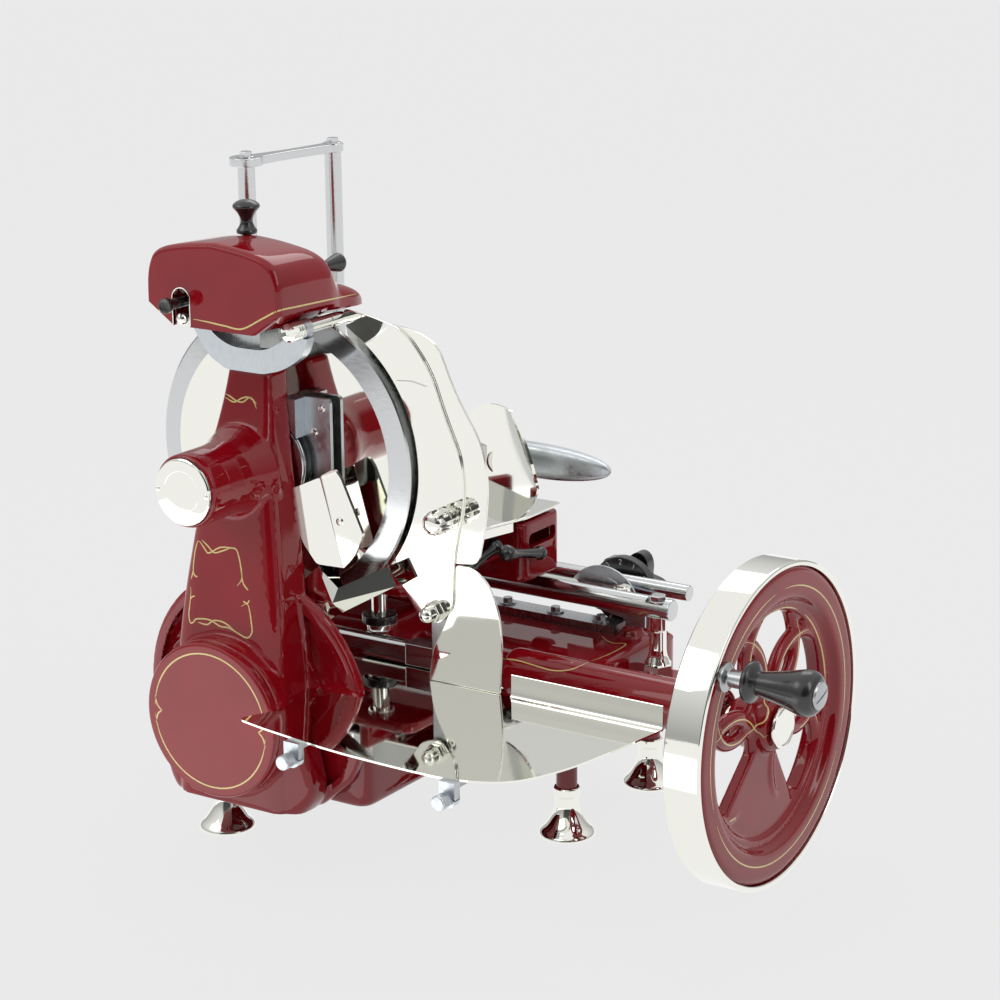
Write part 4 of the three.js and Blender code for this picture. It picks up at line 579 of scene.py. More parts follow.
def loop_ring(turn):
    """One strand of the web: a round-backed ring that weaves over and under its neighbours"""
    turn = math.radians(turn)
    centre = polar(WHEEL_Y, DRIVE_Z, LOOP_OUT, turn)
    rings = []
    for k in range(SIDES):
        t = 2 * math.pi * k / SIDES
        lift = 2 * math.sin(2 * (t - turn))
        ring = []
        for j in range(20):
            u = 2 * math.pi * j / 20
            out = LOOP_RADIUS + 8.5 * math.cos(u)
            ring.append(((web_front + web_back) / 2 + lift + 7 * math.sin(u), *polar(*centre, out, t)))
        rings.append(ring)
    return skin(rings, closed=True)


inner_slope = moved([(1, -2), (3, 2), (7, 3.5), (10, 3), (13, 5)], RIM_IN, web_front)
outer_slope = moved([(17, -2.2), (21, -1)], RIM_IN, WHEEL_FACE)
rim_edge = moved([(-5, -1), (-2, -3), (0, -3.4), (0, -38)], RIM_OUT, WHEEL_FACE)
ring_profile = inner_slope + outer_slope + rim_edge + [
    (RIM_IN + 17, WHEEL_FACE - 38), (RIM_IN + 4, web_back - 3), (RIM_IN, web_back), inner_slope[0]]
hub_profile = moved([(0, -52), (21, -52), (27, -44), (30, -30), (30, -14), (28, -7), (25, -4), (0, -4)], 0, WHEEL_FACE)
fan = [(a, b) for a, b in disc(WHEEL_Y, DRIVE_Z, RIM_IN + 6, -140, -60)] + disc(WHEEL_Y, DRIVE_Z, 24, -60, -140)
wheel = cast("flywheel_web", 1.7, 8,
             turned(ring_profile, "x", 0, WHEEL_Y, DRIVE_Z, 192), turned(hub_profile, "x", 0, WHEEL_Y, DRIVE_Z),
             *[loop_ring(t) for t in LOOP_TURNS], sheet(fan, "yz", web_back + 1, 14))
cut(wheel, bar(12.3, WHEEL_FACE - 60, WHEEL_FACE + 2, "x", 0, WHEEL_Y, DRIVE_Z))
piece(wheel, "flywheel", edge=0.3, angle=50)
band = moved([(-6, -39), (-5.4, -40), (-1.2, -40), (0, -38.6), (0, -2.4), (-0.7, -0.8), (-2.2, 0), (-5.2, 0), (-6, -1),
              (-6, -39)], WHEEL_RADIUS, WHEEL_FACE)
piece(solid("flywheel_tyre", turned(band, "x", 0, WHEEL_Y, DRIVE_Z, 256)), "flywheel_band", edge=0.3, angle=25)

# Flywheel shaft with its polished hub plate, crank pin and grip
axle = [(0, 22), (12, 22), (12, 500), (17, 500.05), (22.6, 504.6), (23, 506), (22.4, 508), (19.5, 509), (18, 508),
        (16.5, 507.6), (0, 507.6)]
piece(solid("flywheel_axle", turned(axle, "x", 0, WHEEL_Y, DRIVE_Z)), "flywheel_shaft", look=chrome, edge=0.3)
CRANK_TURN, CRANK_REACH = math.radians(143.4), 149
PIN = polar(WHEEL_Y, DRIVE_Z, CRANK_REACH, CRANK_TURN)
GRIP = WHEEL_FACE + 23
GRIP_LONG = 79
pin = [(0, 503.05), (15, 503.05), (15, 506.5), (13.4, 508), (10.5, 509.4), (9, 511), (9, GRIP - 2), (7, GRIP - 1.5)]
pin += moved([(7, 0.3), (14, 0.3), (14, 1.6), (13, 2.7), (9, 3.6), (0, 4)], 0, GRIP + GRIP_LONG)
pin = solid("crank_pin_turned", turned(pin, "x", 0, *PIN))
cut(pin, slot_tool(8, "x", GRIP + GRIP_LONG + 4, *PIN, wide=2.2, deep=1.4, tilt=20))
piece(pin, "crank_pin", edge=0.3)
belly = flowing([(12, 14), (12.6, 18), (15.2, 32), (18.4, 46), (21.6, 58), (23, 65), (22.2, 72), (18.8, 77),
                 (15, GRIP_LONG)], 5)
grip = moved([(7.3, 0), (11.4, 0), (14, 0.8), (20, 3), (21, 5), (21, 7.4), (19.6, 9.6), (15, 12)] + belly
             + [(7.3, GRIP_LONG), (7.3, 0)], 0, GRIP)
piece(solid("crank_handle_grip", turned(grip, "x", 0, *PIN)), "crank_grip", edge=0.3, angle=35)

# Slide rod, satin ground, with a flat and a bolt where the front post holds it
FRONT_POST = 285
slide = [(0, -290), (10.4, -290), (11.6, -289.4), (12, -288), (12, 302), (11.6, 303.4), (10.4, 304), (0, 304)]
slide_rod = solid("slide_rod_ground", turned(slide, "x", 0, SLIDE_Y, SLIDE_Z))
cut(slide_rod, block(274, 296, 262, 302, 245, 265))
join(slide_rod, bar(10, 244.5, 247.2, "z", FRONT_POST, SLIDE_Y, 0),
     bar(9, 246.8, 253, "z", FRONT_POST, SLIDE_Y, 0, sides=6, edge=1))
piece(slide_rod, "slide_rod", look=polished_steel, edge=0.4)


def rod_post(name, node, x, seat, hexagon_top):
    """Turned post with a hexagon foot, tapering to a neck and a saddle under the rod"""
    top = 226
    flare = flowing([(13.6, hexagon_top + 1), (12.4, hexagon_top + 4), (10.4, hexagon_top + 9),
                     (9.5, hexagon_top + 16)], 4)
    profile = [(0, hexagon_top - 1), (14.4, hexagon_top - 1)] + flare + [
        (9.3, top - 14), (9.5, top - 13), (12.4, top - 11), (13, top - 10), (13, top + 4), (0, top + 4)]
    made = solid(name, turned(profile, "z", x, SLIDE_Y, 0))
    join(made, bar(17, seat, hexagon_top, "z", x, SLIDE_Y, 0, sides=6, edge=1.6))
    cut(made, bar(12.02, x - 40, x + 40, "x", 0, SLIDE_Y, SLIDE_Z))
    piece(made, node, edge=0.4)


rod_post("rod_post_front", "rod_post_1", FRONT_POST, 150, 176)
rod_post("rod_post_back", "rod_post_2", -110, 188, 198.4)

# Track bar with its bolts on washers
bar_top = 197
track = solid("track_bar_ground", block(30, 214, 306, 332, 188, bar_top))
for x in (66, 130, 190):
    join(track, bar(10, bar_top - 1, bar_top + 2, "z", x, 319, 0),
         bar(6, bar_top + 1, bar_top + 7, "z", x, 319, 0, sides=6, edge=0.8))
piece(track, "track_bar", edge=0.8)

# Front rail with a flat, and its end blocks
rail = solid("front_rail_ground", bar(10.5, -104, 125, "x", 0, 46, 229))
cut(rail, block(-110, 126, 26, 37.5, 200, 250))
ends = rounded([(123, 33, 3), (176, 33, 0), (176, 20, 0), (192, 20, 0), (192, 59, 5), (123, 59, 3)])
join(rail, pad(ends, 217, 240.5, 1.2), block(-124, -103, 33, 59, 180, 240.5))
piece(rail, "front_rail", edge=0.8, look=polished_steel)

# Carriage: a box with slot and bushes, cast in one, then bored
carriage = cast("carriage_casting", 1.8, 6,
                pad(rectangle(-136, 150, 222, 300, 14), 258, 327, 3.5),
                pad(rounded([(-128, 40, 20), (124, 40, 20), (124, 226, 0), (-128, 226, 0)]), 286, 298, 2),
                block(-64, -52, 46, 226, 296, 327), block(52, 64, 46, 226, 296, 327),
                *[bar(17.5, x - 20, x + 20, "x", 0, SLIDE_Y, SLIDE_Z, edge=1.5) for x in (-100, 30)],
                *[block(x - 20, x + 20, 274, 299, 251, 268) for x in (-100, 30)],
                *[bar(15, x - 11, x + 11, "x", 0, REACH_Y, SLIDE_Z, edge=1.5) for x in (-112, 96)],
                *[block(x - 11, x + 11, 296, REACH_Y, 232, 253) for x in (-112, 96)],
                *[block(x - 11, x + 11, 294, 308, 232, 268) for x in (-112, 96)],
                block(-3, 23, 42, 54, 296, 325))
cut(carriage, pad(rectangle(-129, 143, 229, 293, 7), 238, 319, 3),
    sheet(rounded([(234, 296, 8), (288, 296, 8), (288, 312, 8), (234, 312, 8)]), "yz", 130, 25),
    bar(12.5, -156, 170, "x", 0, SLIDE_Y, SLIDE_Z), block(-156, 170, 257, 303, 200, 233),
    bar(9.3, -148, 150, "x", 0, REACH_Y, SLIDE_Z), bar(6.5, 0, 320, "y", FEED_X, 0, FEED_Z))
piece(carriage, "carriage_body", edge=0.5, angle=50)

# Reach rod and trip bar on the carriage
reach = [(0, -128), (8.2, -128), (9, -127.2), (9, 287.6), (8.6, 288.6), (7.6, 289), (0, 289)]
piece(solid("reach_rod_ground", turned(reach, "x", 0, REACH_Y, SLIDE_Z)), "reach_rod", edge=0.2)
trip = rounded([(107, 298, 4), (219, 298, 5), (219, 312, 5), (107, 312, 4)])
trip = solid("trip_bar_ground", sheet(trip, "xy", 236, 7))
join(trip, bar(10, 231, 247, "z", 226, 305, 0, edge=1), bar(5.5, 246, 248.6, "z", 226, 305, 0))
piece(trip, "trip_bar", look=chrome, edge=0.7)

# Guide roller on its shaft
spool = [(0, 237), (12, 237), (14, 238.6), (14, 244.6), (13.4, 245.5), (8.5, 245.5), (8.5, 283), (13, 283), (14, 284),
         (14, 286), (0, 286)]
piece(solid("roller_spindle", turned(spool, "z", 69, 65, 0)), "roller_shaft", edge=0.3)
ring = [(8.8, 246), (17, 246), (18.4, 246.6), (19, 248), (19, 254), (18.4, 255.4), (17, 256), (8.8, 256), (8.8, 246)]
piece(solid("roller_ring", turned(ring, "z", 69, 65, 0)), "guide_roller", edge=0.3)

# Clamp levers: bulb ends joined by a tapering arm
for i, (x, y, z, way) in enumerate([(150, 238, 292, -1), (124, 124, 292, 1)], 1):
    near, far = (x + 11, y, z), (x + 11, y + way * 64, z + 16)
    arm = flowing([(6.6, 2), (6, 14), (5.2, 30), (5.4, 46), (7, 60)], 6)
    arm = aimed(turned([(0, 2)] + arm + [(0, 60)], "z", 0, 0, 0, 48), near, far)
    lever = solid(f"clamp_lever_arm_{i}", ball(8, *near), ball(9.5, *far), arm)
    modify(lever, "REMESH", mode="VOXEL", voxel_size=0.7 * MM)
    modify(lever, "SMOOTH", factor=0.5, iterations=5)
    settle(lever)
    join(lever, bar(5, x + 0.1, x + 8, "x", 0, y, z))
    piece(lever, f"clamp_lever_{i}", edge=0.2, angle=50)

# Meat table: plate with a rolled edge, its slides and the feed nut
table = solid("meat_table_plate", pad(rounded([(-146, 92, 8), (118, 92, 4), (137, 172, 4), (152, 231, 3), (152, 298, 6),
                                               (-146, 298, 8)]), TABLE_TOP - 3, TABLE_TOP, 1))
apron = rounded([(112.4, 93, 1), (116.4, 93, 1.5), (135.8, 173, 3), (145.2, 211, 1.5), (141.4, 211, 1),
                 (131.6, 174, 3)])
join(table, pad(apron, 320, 333, 1), block(-65, -51, 100, 292, 327, 333), block(51, 65, 100, 292, 327, 333),
     block(-4, 24, 135, 165, 300, 333))
cut(table, bar(6.5, 0, 318, "y", FEED_X, 0, FEED_Z))
piece(table, "table_plate", edge=0.5)

# Feed screw: cut thread, collar and a fluted hand wheel
screw = [(0, 46), (5.4, 46)]
for i in range(96):
    screw += [(6, 47 + i * 2.5), (5.2, 48.2 + i * 2.5)]
screw += [(6, 288), (6, 300.5), (10.4, 300.5), (11, 301), (11, 305.4), (10.4, 306), (7, 306), (7, 309), (15.8, 309.4),
          (17, 310.8), (17, 316.4), (16, 318), (9, 318), (8, 317.2), (0, 317)]
feed = solid("feed_screw_threaded", turned(screw, "y", FEED_X, 0, FEED_Z, 48))
for t in range(0, 360, 30):
    across, up = polar(FEED_X, FEED_Z, 17.6, math.radians(t))
    cut(feed, bar(1.6, 306.5, 320, "y", across, 0, up, 16, 0.1))
piece(feed, "feed_screw", edge=0.2, angle=50)

# Press posts on their feet, joined by a waisted cross bar with cap bolts
POSTS = [(-129, 113), (-107, 239)]


def link(low, high, big, small, waist):
    """Bar between the posts, round at both ends and waisted in between"""
    (ax, ay), (bx, by) = POSTS
    long = math.hypot(bx - ax, by - ay)
    turn = math.degrees(math.atan2(by - ay, bx - ax))
    side = flowing([(big * 0.8, -big * 0.6), (long * 0.3, -waist * 1.15), (long * 0.5, -waist),
                    (long * 0.72, -waist * 1.1), (long - small * 0.7, -small * 0.72)], 6)
    shape = (disc(0, 0, big, 40, 320, 96) + side + disc(long, 0, small, -130, 130, 96)
             + [(a, -b) for a, b in reversed(side)])
    made = pad(shape, low, high, 1)
    made.transform(Matrix.Translation((ax, ay, 0)) @ Matrix.Rotation(math.radians(turn), 4, "Z"))
    return made


def footed(x, y):
    """Round post on a flanged foot"""
    profile = [(0, 334), (13.4, 334), (14, 334.8), (14, 340), (13.4, 341.6), (12, 343), (10.4, 343), (9.8, 343.6),
               (9.5, 344.6), (9.5, 713), (0, 713)]
    return turned(profile, "z", x, y, 0)


press_frame = solid("press_post_frame", link(712, 721, 18, 12, 7))
join(press_frame, *[footed(x, y) for x, y in POSTS])
for x, y in POSTS:
    join(press_frame, bar(9.5, 720, 722.4, "z", x, y, 0), bar(7, 722, 727, "z", x, y, 0, sides=6, edge=1))
piece(press_frame, "press_posts", look=polished_steel, edge=0.5)

# Press carrier: sliding link, arm and the toothed plate that grips the meat
carrier = solid("press_carrier_link", link(394, 426, 16, 16, 9))
arm = rounded([(-122, 200, 2), (160, 200, 5), (160, 216, 5), (-122, 216, 2)])
join(carrier, pad(arm, 398, 414, 2))
teeth = [(-20, 414)]
for i in range(17):
    x = -20 + 124 * i / 16
    teeth += [(x - 0.5, 344), (x + 0.5, 344)] if i % 2 else [(x, 356)]
plate = sheet(teeth + [(104, 414)], "xz", 168, 6)
join(carrier, plate, block(-120, 30, 166, 178, 400, 412))
cut(carrier, *[bar(10, 393, 427, "z", x, y, 0) for x, y in POSTS])
piece(carrier, "press_carrier", edge=0.6)


# Hand guard: polished disc folded along a chord, on a boss in front of the arm
def folded_disc():
    """Disc in its own plane, bent along a chord on one side, then set in place"""
    fold, radius, bend, thick = 47, 64, math.radians(32), 3
    opened = math.degrees(math.acos(fold / radius))
    flat = sheet(disc(0, 0, radius, opened, 360 - opened, 160), "xy", 0, thick)
    flap = sheet(disc(0, 0, radius, -opened, opened, 160), "xy", 0, thick)
    flap.transform(Matrix.Translation((fold, 0, 0)) @ Matrix.Rotation(-bend, 4, "Y")
                   @ Matrix.Translation((-fold, 0, 0)))
    pose = (Matrix.Translation((146, 182, 405)) @ Matrix.Rotation(math.radians(-13.5), 4, "Z")
            @ Matrix.Rotation(math.pi / 2, 4, "X") @ Matrix.Rotation(math.radians(27), 4, "Z"))
    for part in (flat, flap):
        part.transform(pose)
    return flat, flap


flat, flap = folded_disc()
guard = solid("hand_guard_disc", flat)
join(guard, flap, bar(13, 180.5, 200, "y", 143, 0, 405, edge=1))
piece(guard, "hand_guard", edge=0.6)

# Press handle: flat-sided paddle, cast and hand polished
rings = []
for i in range(41):
    t = i / 40
    tall = max(19 * (1 - t ** 2.4) ** 0.5, 0.6)
    ring = []
    for k in range(64):
        u = 2 * math.pi * k / 64
        c, s = math.cos(u), math.sin(u)
        size = (abs(c) ** 3.4 + abs(s) ** 3.4) ** (-1 / 3.4)
        ring.append((160 + 110 * t, 208 + c * size * 0.66 * tall, 406 + s * size * tall * 0.985))
    rings.append(ring)
piece(solid("press_paddle_handle", skin(rings)), "press_handle", look=aluminium, edge=0.3, angle=50)


# Guard plates beside the blade, in shares of the blade's radius from its centre
def beside(points):
    """Outline from shares of the blade's radius"""
    return rounded([(x * BLADE_RADIUS, BLADE_Z + z * BLADE_RADIUS, corner) for x, z, corner in points])


INNER = [(0.4625, 1.0188, 6), (0.7, 0.9875, 40), (0.9375, 0.925, 30), (1.125, 0.7, 60), (1.2437, 0.3875, 60),
         (1.3562, 0.1437, 30), (1.375, -0.1125, 40), (1.2875, -0.5125, 30), (1.275, -0.8375, 8), (1.1625, -0.975, 14),
         (1.025, -0.9437, 18), (0.9125, -0.8, 6), (0.775, -0.65, 4)]
OUTER = [(0.8, 0.95, 4), (1, 0.9375, 20), (1.175, 0.8562, 26), (1.3062, 0.55, 60), (1.4875, 0.2812, 60),
         (1.5437, 0.0312, 30), (1.525, -0.2313, 60), (1.4625, -0.525, 10), (1.25, -0.55, 4), (1.2875, -0.3625, 40),
         (1.2875, 0.0375, 60), (1.1625, 0.4125, 60), (1, 0.6937, 40)]
LOWER = [(1.2875, 0, 4), (1.4125, 0, 14), (1.5375, 0.1038, 18), (1.6187, 0.3517, 40), (1.6375, 0.6615, 60),
         (1.6125, 1, 2), (1.0688, 1, 2), (1.1, 0.739, 50), (1.1875, 0.5376, 10), (1.25, 0.3517, 40)]
guard_top = BLADE_Z - 0.5538 * BLADE_RADIUS
GUARD_FOOT = 216.3
lower = [(x * BLADE_RADIUS, guard_top - down * (guard_top - GUARD_FOOT), corner) for x, down, corner in LOWER]
piece(solid("outer_guard_plate", sheet(beside(OUTER), "xz", 9, 3)), "outer_guard", edge=0.9)
piece(solid("lower_guard_plate", sheet(rounded(lower), "xz", 9, 3)), "lower_guard", edge=0.9)
inner = solid("inner_guard_plate", sheet(beside(INNER), "xz", 6, 3))
cut(inner, bar(136, 0, 12, "y", 0, 0, BLADE_Z, sides=256, edge=0))
piece(inner, "inner_guard", edge=0.9)
nut_x, nut_z = 1.1375 * BLADE_RADIUS, BLADE_Z - 0.8813 * BLADE_RADIUS
acorn = [(0, -16), (2.6, -15.8), (5, -15), (6.8, -13.4), (7.9, -11), (8.2, -8.4), (8.2, -5), (8.6, -4), (8.6, -2),
         (0, -2)]
nut = solid("acorn_nut", turned(acorn, "y", nut_x, 0, nut_z))
join(nut, bar(11, -3, 6, "y", nut_x, 0, nut_z, sides=6, edge=1))
piece(nut, slot="chrome", body="frame", edge=0.4)
clip_x, clip_z = 0.9875 * BLADE_RADIUS, BLADE_Z + 0.5875 * BLADE_RADIUS
clip = rounded([(clip_x - 19, clip_z + 2, 1), (clip_x, clip_z - 3.5, 3), (clip_x + 19, clip_z, 1),
                (clip_x, clip_z + 3.5, 3)])
piece(solid("guard_spring_latch", sheet(clip, "xz", 4, 2.4)), slot="chrome", body="frame", edge=0.6)
brace = rounded([(98, 180, 2), (122, 180, 2), (122, 188, 4), (206, 188, 6), (206, 338, 8), (173, 338, 8), (173, 208, 4),
                 (98, 208, 4)])
piece(solid("guard_bracket_plate", sheet(brace, "xz", 12, 8)), "guard_bracket", edge=0.9)

# Guard knob: eight flutes at both ends of a barrel, with a ring groove and a domed end
knob_x, knob_z = 1.2625 * BLADE_RADIUS, BLADE_Z - 0.2375 * BLADE_RADIUS
rings = []
for depth, radius, flute in [(-30, 2, 0), (-29.8, 5, 0), (-28.8, 8.6, 0), (-27.2, 10.6, 0.1), (-25, 12, 0.5),
                             (-22, 12.8, 1), (-16, 13, 1), (-13.4, 13, 0.7), (-11.6, 13, 0), (-9.4, 13, 0),
                             (-9.2, 12.1, 0), (-8, 12.1, 0), (-7.8, 13, 0), (-6.6, 13, 0), (-5, 13, 0.8), (0, 13, 1),
                             (2, 12.4, 0.9), (2.3, 10, 0.3), (2.4, 9, 0), (6, 9, 0)]:
    ring = []
    for k in range(SIDES):
        t = 2 * math.pi * k / SIDES
        hollow = flute * 3 * max(0, math.cos(8 * t)) ** 1.2
        across, up = polar(knob_x, knob_z, radius - hollow, t)
        ring.append((across, depth, up))
    rings.append(ring)
piece(solid("guard_knob_fluted", skin(rings)), "guard_knob", edge=0.25, angle=40)

# Bearing housing behind the column: a bright ring and a dark seal
ring = [(11.5, -32), (46, -32), (47, -31.2), (47, -28.6), (46.6, -28.2), (47, -27.8), (47, -24), (11.5, -24),
        (11.5, -32)]
piece(solid("bearing_ring", turned(ring, "y", 0, 0, BLADE_Z)), "bearing_housing", look=polished_steel, edge=0.3)
seal = [(11.5, -24), (49, -24), (50.5, -22.6), (50.5, -14), (49.6, -13), (11.5, -13), (11.5, -24)]
piece(solid("bearing_seal", turned(seal, "y", 0, 0, BLADE_Z)), slot="dark_steel", body="frame", edge=0.3)

# Support block beside the housing, with its screws
support = solid("support_block_milled", sheet(rounded([(20, 402, 4), (72, 402, 6), (72, 506, 5), (20, 506, 5)]), "xz",
                                              -17.5, 4.5))
join(support, block(21, 40, -33.6, -17, 403, 505))
cut(support, bar(50.4, -40, 0, "y", 0, 0, BLADE_Z, sides=256, edge=0))
piece(support, "support_block", look=aluminium, edge=1)
for i, (x, z) in enumerate([(62, 496), (52, 470)], 1):
    screw = solid(f"block_screw_{i}", screw_head(4, 2, "y", x, -17.5, z))
    cut(screw, slot_tool(3, "y", x, -19.6, z, deep=1.2, tilt=30))
    piece(screw, slot="chrome", body="frame", edge=0.2)

# Stripper plates, meeting at a ridge, each with its screw
left = sheet(rounded([(42, 415, 4), (71.6, 429, 3), (98.6, 337, 0.5), (70, 338.5, 4), (50, 366, 16)]), "xz", -36.7, 3)
right = sheet(rounded([(72.4, 430, 3), (90, 441, 5), (98, 432, 3), (124, 375, 4), (112, 350, 8), (99.2, 337, 0.5)]),
              "xz", -37.7, 4)
RIDGE_X, RIDGE_TOP, RIDGE_LEAN = 72, 430, 0.286
for vert in left.verts:
    vert.co.y += 0.25 * min(0, vert.co.x - RIDGE_X - (RIDGE_TOP - vert.co.z) * RIDGE_LEAN)
for vert in right.verts:
    vert.co.y += 0.04 * max(0, vert.co.x - 85)
stripper = solid("stripper_pair", left)
join(stripper, right)
for x, y, z in ((69, -35.9, 376), (96, -37.2, 386)):
    join(stripper, screw_head(4, 2, "y", x, y, z))
    cut(stripper, slot_tool(3, "y", x, y - 2.2, z, deep=1.2, tilt=70))
piece(stripper, "stripper_plates", edge=0.5)

# Chute: facets that meet at one raised point, folded from sheet
EDGE_OF_CHUTE = [(47, 314), (49, 298), (76, 276), (100, 291), (147, 319), (136, 338), (98, 318), (70, 335.5)]
chute = bmesh.new()
front = [chute.verts.new((x, -42, z)) for x, z in EDGE_OF_CHUTE]
back = [chute.verts.new((x, -14 if x < 72 else -38, z)) for x, z in EDGE_OF_CHUTE]
front[6].co.y = -46
for i in (4, 5):
    front[i].co.y, back[i].co.y = -15, -11
peak = chute.verts.new((95, -52, 303))
count = len(front)
for i in range(count):
    j = (i + 1) % count
    chute.faces.new((front[i], front[j], peak))
    chute.faces.new((front[i], front[j], back[j], back[i]))
chute.faces.new(back)
bmesh.ops.recalc_face_normals(chute, faces=chute.faces)
chute = solid("facet_chute", chute)
join(chute, block(58, 84, -52, -41, 284, 300), screw_head(4, 2, "y", 84, -47, 309))
piece(chute, "chute", edge=0.8, angle=6)

# Slice tray: thin mirror plate with a raised and rolled lip
TRAY = [(74, -186, 10), (110, -194, 40), (206, -209, 120), (290, -212.5, 60), (349, -212, 40), (400, -190, 40),
        (426, -134, 30), (440, -57, 60), (449.5, 11.4, 3), (169, 11.4, 3), (169, 88, 6), (60.5, 88, 6),
        (60.5, -49, 4), (143, -49, 3), (143, -73, 3), (80, -73, 6), (80, -112, 6), (93, -118, 6), (93, -148, 8)]
tray = solid("slice_tray_plate", sheet(rounded(TRAY), "xy", TRAY_LOW, 2))
lip = flowing([(5, 215.4), (7, 216.4), (8.6, 218.4), (9.3, 222), (9.4, 232)], 5)
lip = [(11.4, 214.5)] + [(11.4, 238.6), (10.9, 239.7), (10.1, 240), (9.6, 239.4)] + lip[::-1] + [(5, 214.5)]
join(tray, sheet(lip, "yz", 272, 177))
piece(tray, "slice_tray", edge=0.5)

# Frame under the tray, with two folded clips and their knurled knobs
tray_frame = solid("tray_frame_bars", block(66, 356, -44, -30, 206, 214))
join(tray_frame, block(66, 118, -44, -30, 180, 207))
CLIPS = [(158, -200), (346, -207)]
for x, y in CLIPS:
    join(tray_frame, block(x - 7, x + 7, y - 1, -43, 206, 213.9))
piece(tray_frame, "tray_frame", edge=0.8)
for i, (x, y) in enumerate(CLIPS, 1):
    tab = [(x - 9, 214), (x - 9, 196)] + disc(x, 197, 9, 180, 360, 64) + [(x + 9, 196), (x + 9, 214)]
    tab = solid(f"tray_clip_{i}", sheet(tab, "xz", y - 9, 9))
    rings = []
    for depth, radius, flute in ((-25, 6, 0), (-24.6, 7, 0), (-23.6, 7.5, 0), (-22, 7.5, 1), (-13, 7.5, 1),
                                 (-12, 7.2, 0), (-11, 5, 0), (-8, 5, 0)):
        spots = [polar(x, 197.5, radius - 0.5 * flute * (k % 2), math.pi * k / 30) for k in range(60)]
        rings.append([(across, y + depth, up) for across, up in spots])
    join(tab, skin(rings))
    piece(tab, slot="chrome", body="frame", look=aluminium, edge=0.3, angle=50)

# Fork over the blade's edge, and the tie rod through its eye
FORK = [(-70, -6, 6), (-56, 0, 6), (-36, -23, 20), (-14, -33, 20), (30, -33, 20), (58, -16, 16), (74, -16, 4),
        (84, -14, 8), (76, -34, 16), (52, -50, 20), (26, -57, 6), (-22, -57, 6), (-46, -44, 20)]
TIE = (73, CROWN - 6)
fork = solid("blade_fork", sheet(rounded([(x, CROWN + z, corner) for x, z, corner in FORK]), "xz", -66, 12))
join(fork, bar(10, -66, -54, "y", TIE[0], 0, TIE[1], edge=0.8))
cut(fork, bar(7.3, -70, -50, "y", TIE[0], 0, TIE[1]))
piece(fork, "fork", look=aluminium, edge=1.2)
tie = [(0, -86), (4, -85.9), (7.5, -85.2), (9.4, -83.8), (10, -82), (10, -77.6), (9.4, -77), (9.4, -76), (10, -75.4),
       (10, -73.4), (9.4, -72.8), (9.4, -71.8), (10, -71.2), (10, -67.2), (9.4, -66.4), (7, -66.3), (7, -20),
       (6.2, -19.4), (6.2, -17.6), (7, -17), (7, -5), (6, 6), (0, 6)]
tie_rod = solid("tie_rod_turned", turned(tie, "y", TIE[0], 0, TIE[1]))
cut(tie_rod, slot_tool(10, "y", TIE[0], -86, TIE[1], wide=4, deep=10, tilt=-20))
piece(tie_rod, "tie_rod", edge=0.4)

# Sharpener cover: smooth shell through rings along Y, hollow, with its slot and knob holes
DOME_LOW = CROWN - 5
DOME_RING = [(0, 0), (0.31, 0), (0.62, 0), (0.81, 0.125), (1, 0.25), (1, 0.4), (0.99, 0.56), (0.955, 0.7), (0.89, 0.81),
             (0.76, 0.885), (0.55, 0.935), (0.28, 0.975), (0, 1)]
SECTIONS = [(-116, 79, 76), (-115.2, 81, 79), (-112, 83.2, 81.6), (-106, 84, 82.6), (-80, 84, 82), (-46, 84, 80),
            (-30, 83.6, 75), (-21, 82, 67), (-15, 80.5, 55), (-9, 79, 45), (0, 78, 37), (22, 76, 28), (40, 70, 20),
            (46, 66, 14)]


def dome(shrink, drop):
    """Shell of the cover, smaller by the shrink and open by the drop"""
    half_ring = DOME_RING[:5] + flowing(DOME_RING[4:], 5)[1:]
    ring = half_ring + [(-u, v) for u, v in half_ring[-2:0:-1]]
    rings = []
    rows = SECTIONS[:1] + flowing(SECTIONS[1:], 4)
    for i, (y, half, rise) in enumerate(rows):
        full = CROWN + rise - DOME_LOW
        inset = shrink if i == 0 else -shrink if i == len(rows) - 1 else 0
        if inset == 0 and (y < -116 + shrink or y > 46 - shrink):
            continue
        rings.append([(3 + u * (half - shrink), y + inset, DOME_LOW + (v * (full - shrink) if v > 0 else -drop))
                      for u, v in ring])
    return skin(rings)


cover = solid("sharpener_hood", dome(0, 0))
cut(cover, dome(5, 4), bar(162.5, -9, 5, "y", 0, 0, BLADE_Z, sides=192, edge=0),
    sheet([(-46, DOME_LOW - 2)] + [(-25, DOME_LOW - 2)] + disc(-35.5, CROWN + 23, 10.5, 0, 180, 96), "xz", -120, 12),
    bar(5.5, CROWN + 46, CROWN + 110, "z", -6, -44, 0), bar(5, -40, 40, "y", 58, 0, CROWN + 46),
    block(66, 96, 3, 12, 570, 600))
piece(cover, "sharpener_cover", edge=0.8, angle=35)
lining = sheet([(-47.2, DOME_LOW + 1)] + disc(-35.5, CROWN + 23, 11.7, 180, 0, 96) + [(-23.8, DOME_LOW + 1),
                                                                                      (-25, DOME_LOW + 1)]
               + disc(-35.5, CROWN + 23, 10.5, 0, 180, 96) + [(-46, DOME_LOW + 1)], "xz", -116.6, 4)
piece(solid("hood_slot_lining", lining), slot="chrome", body="frame", edge=0.3)

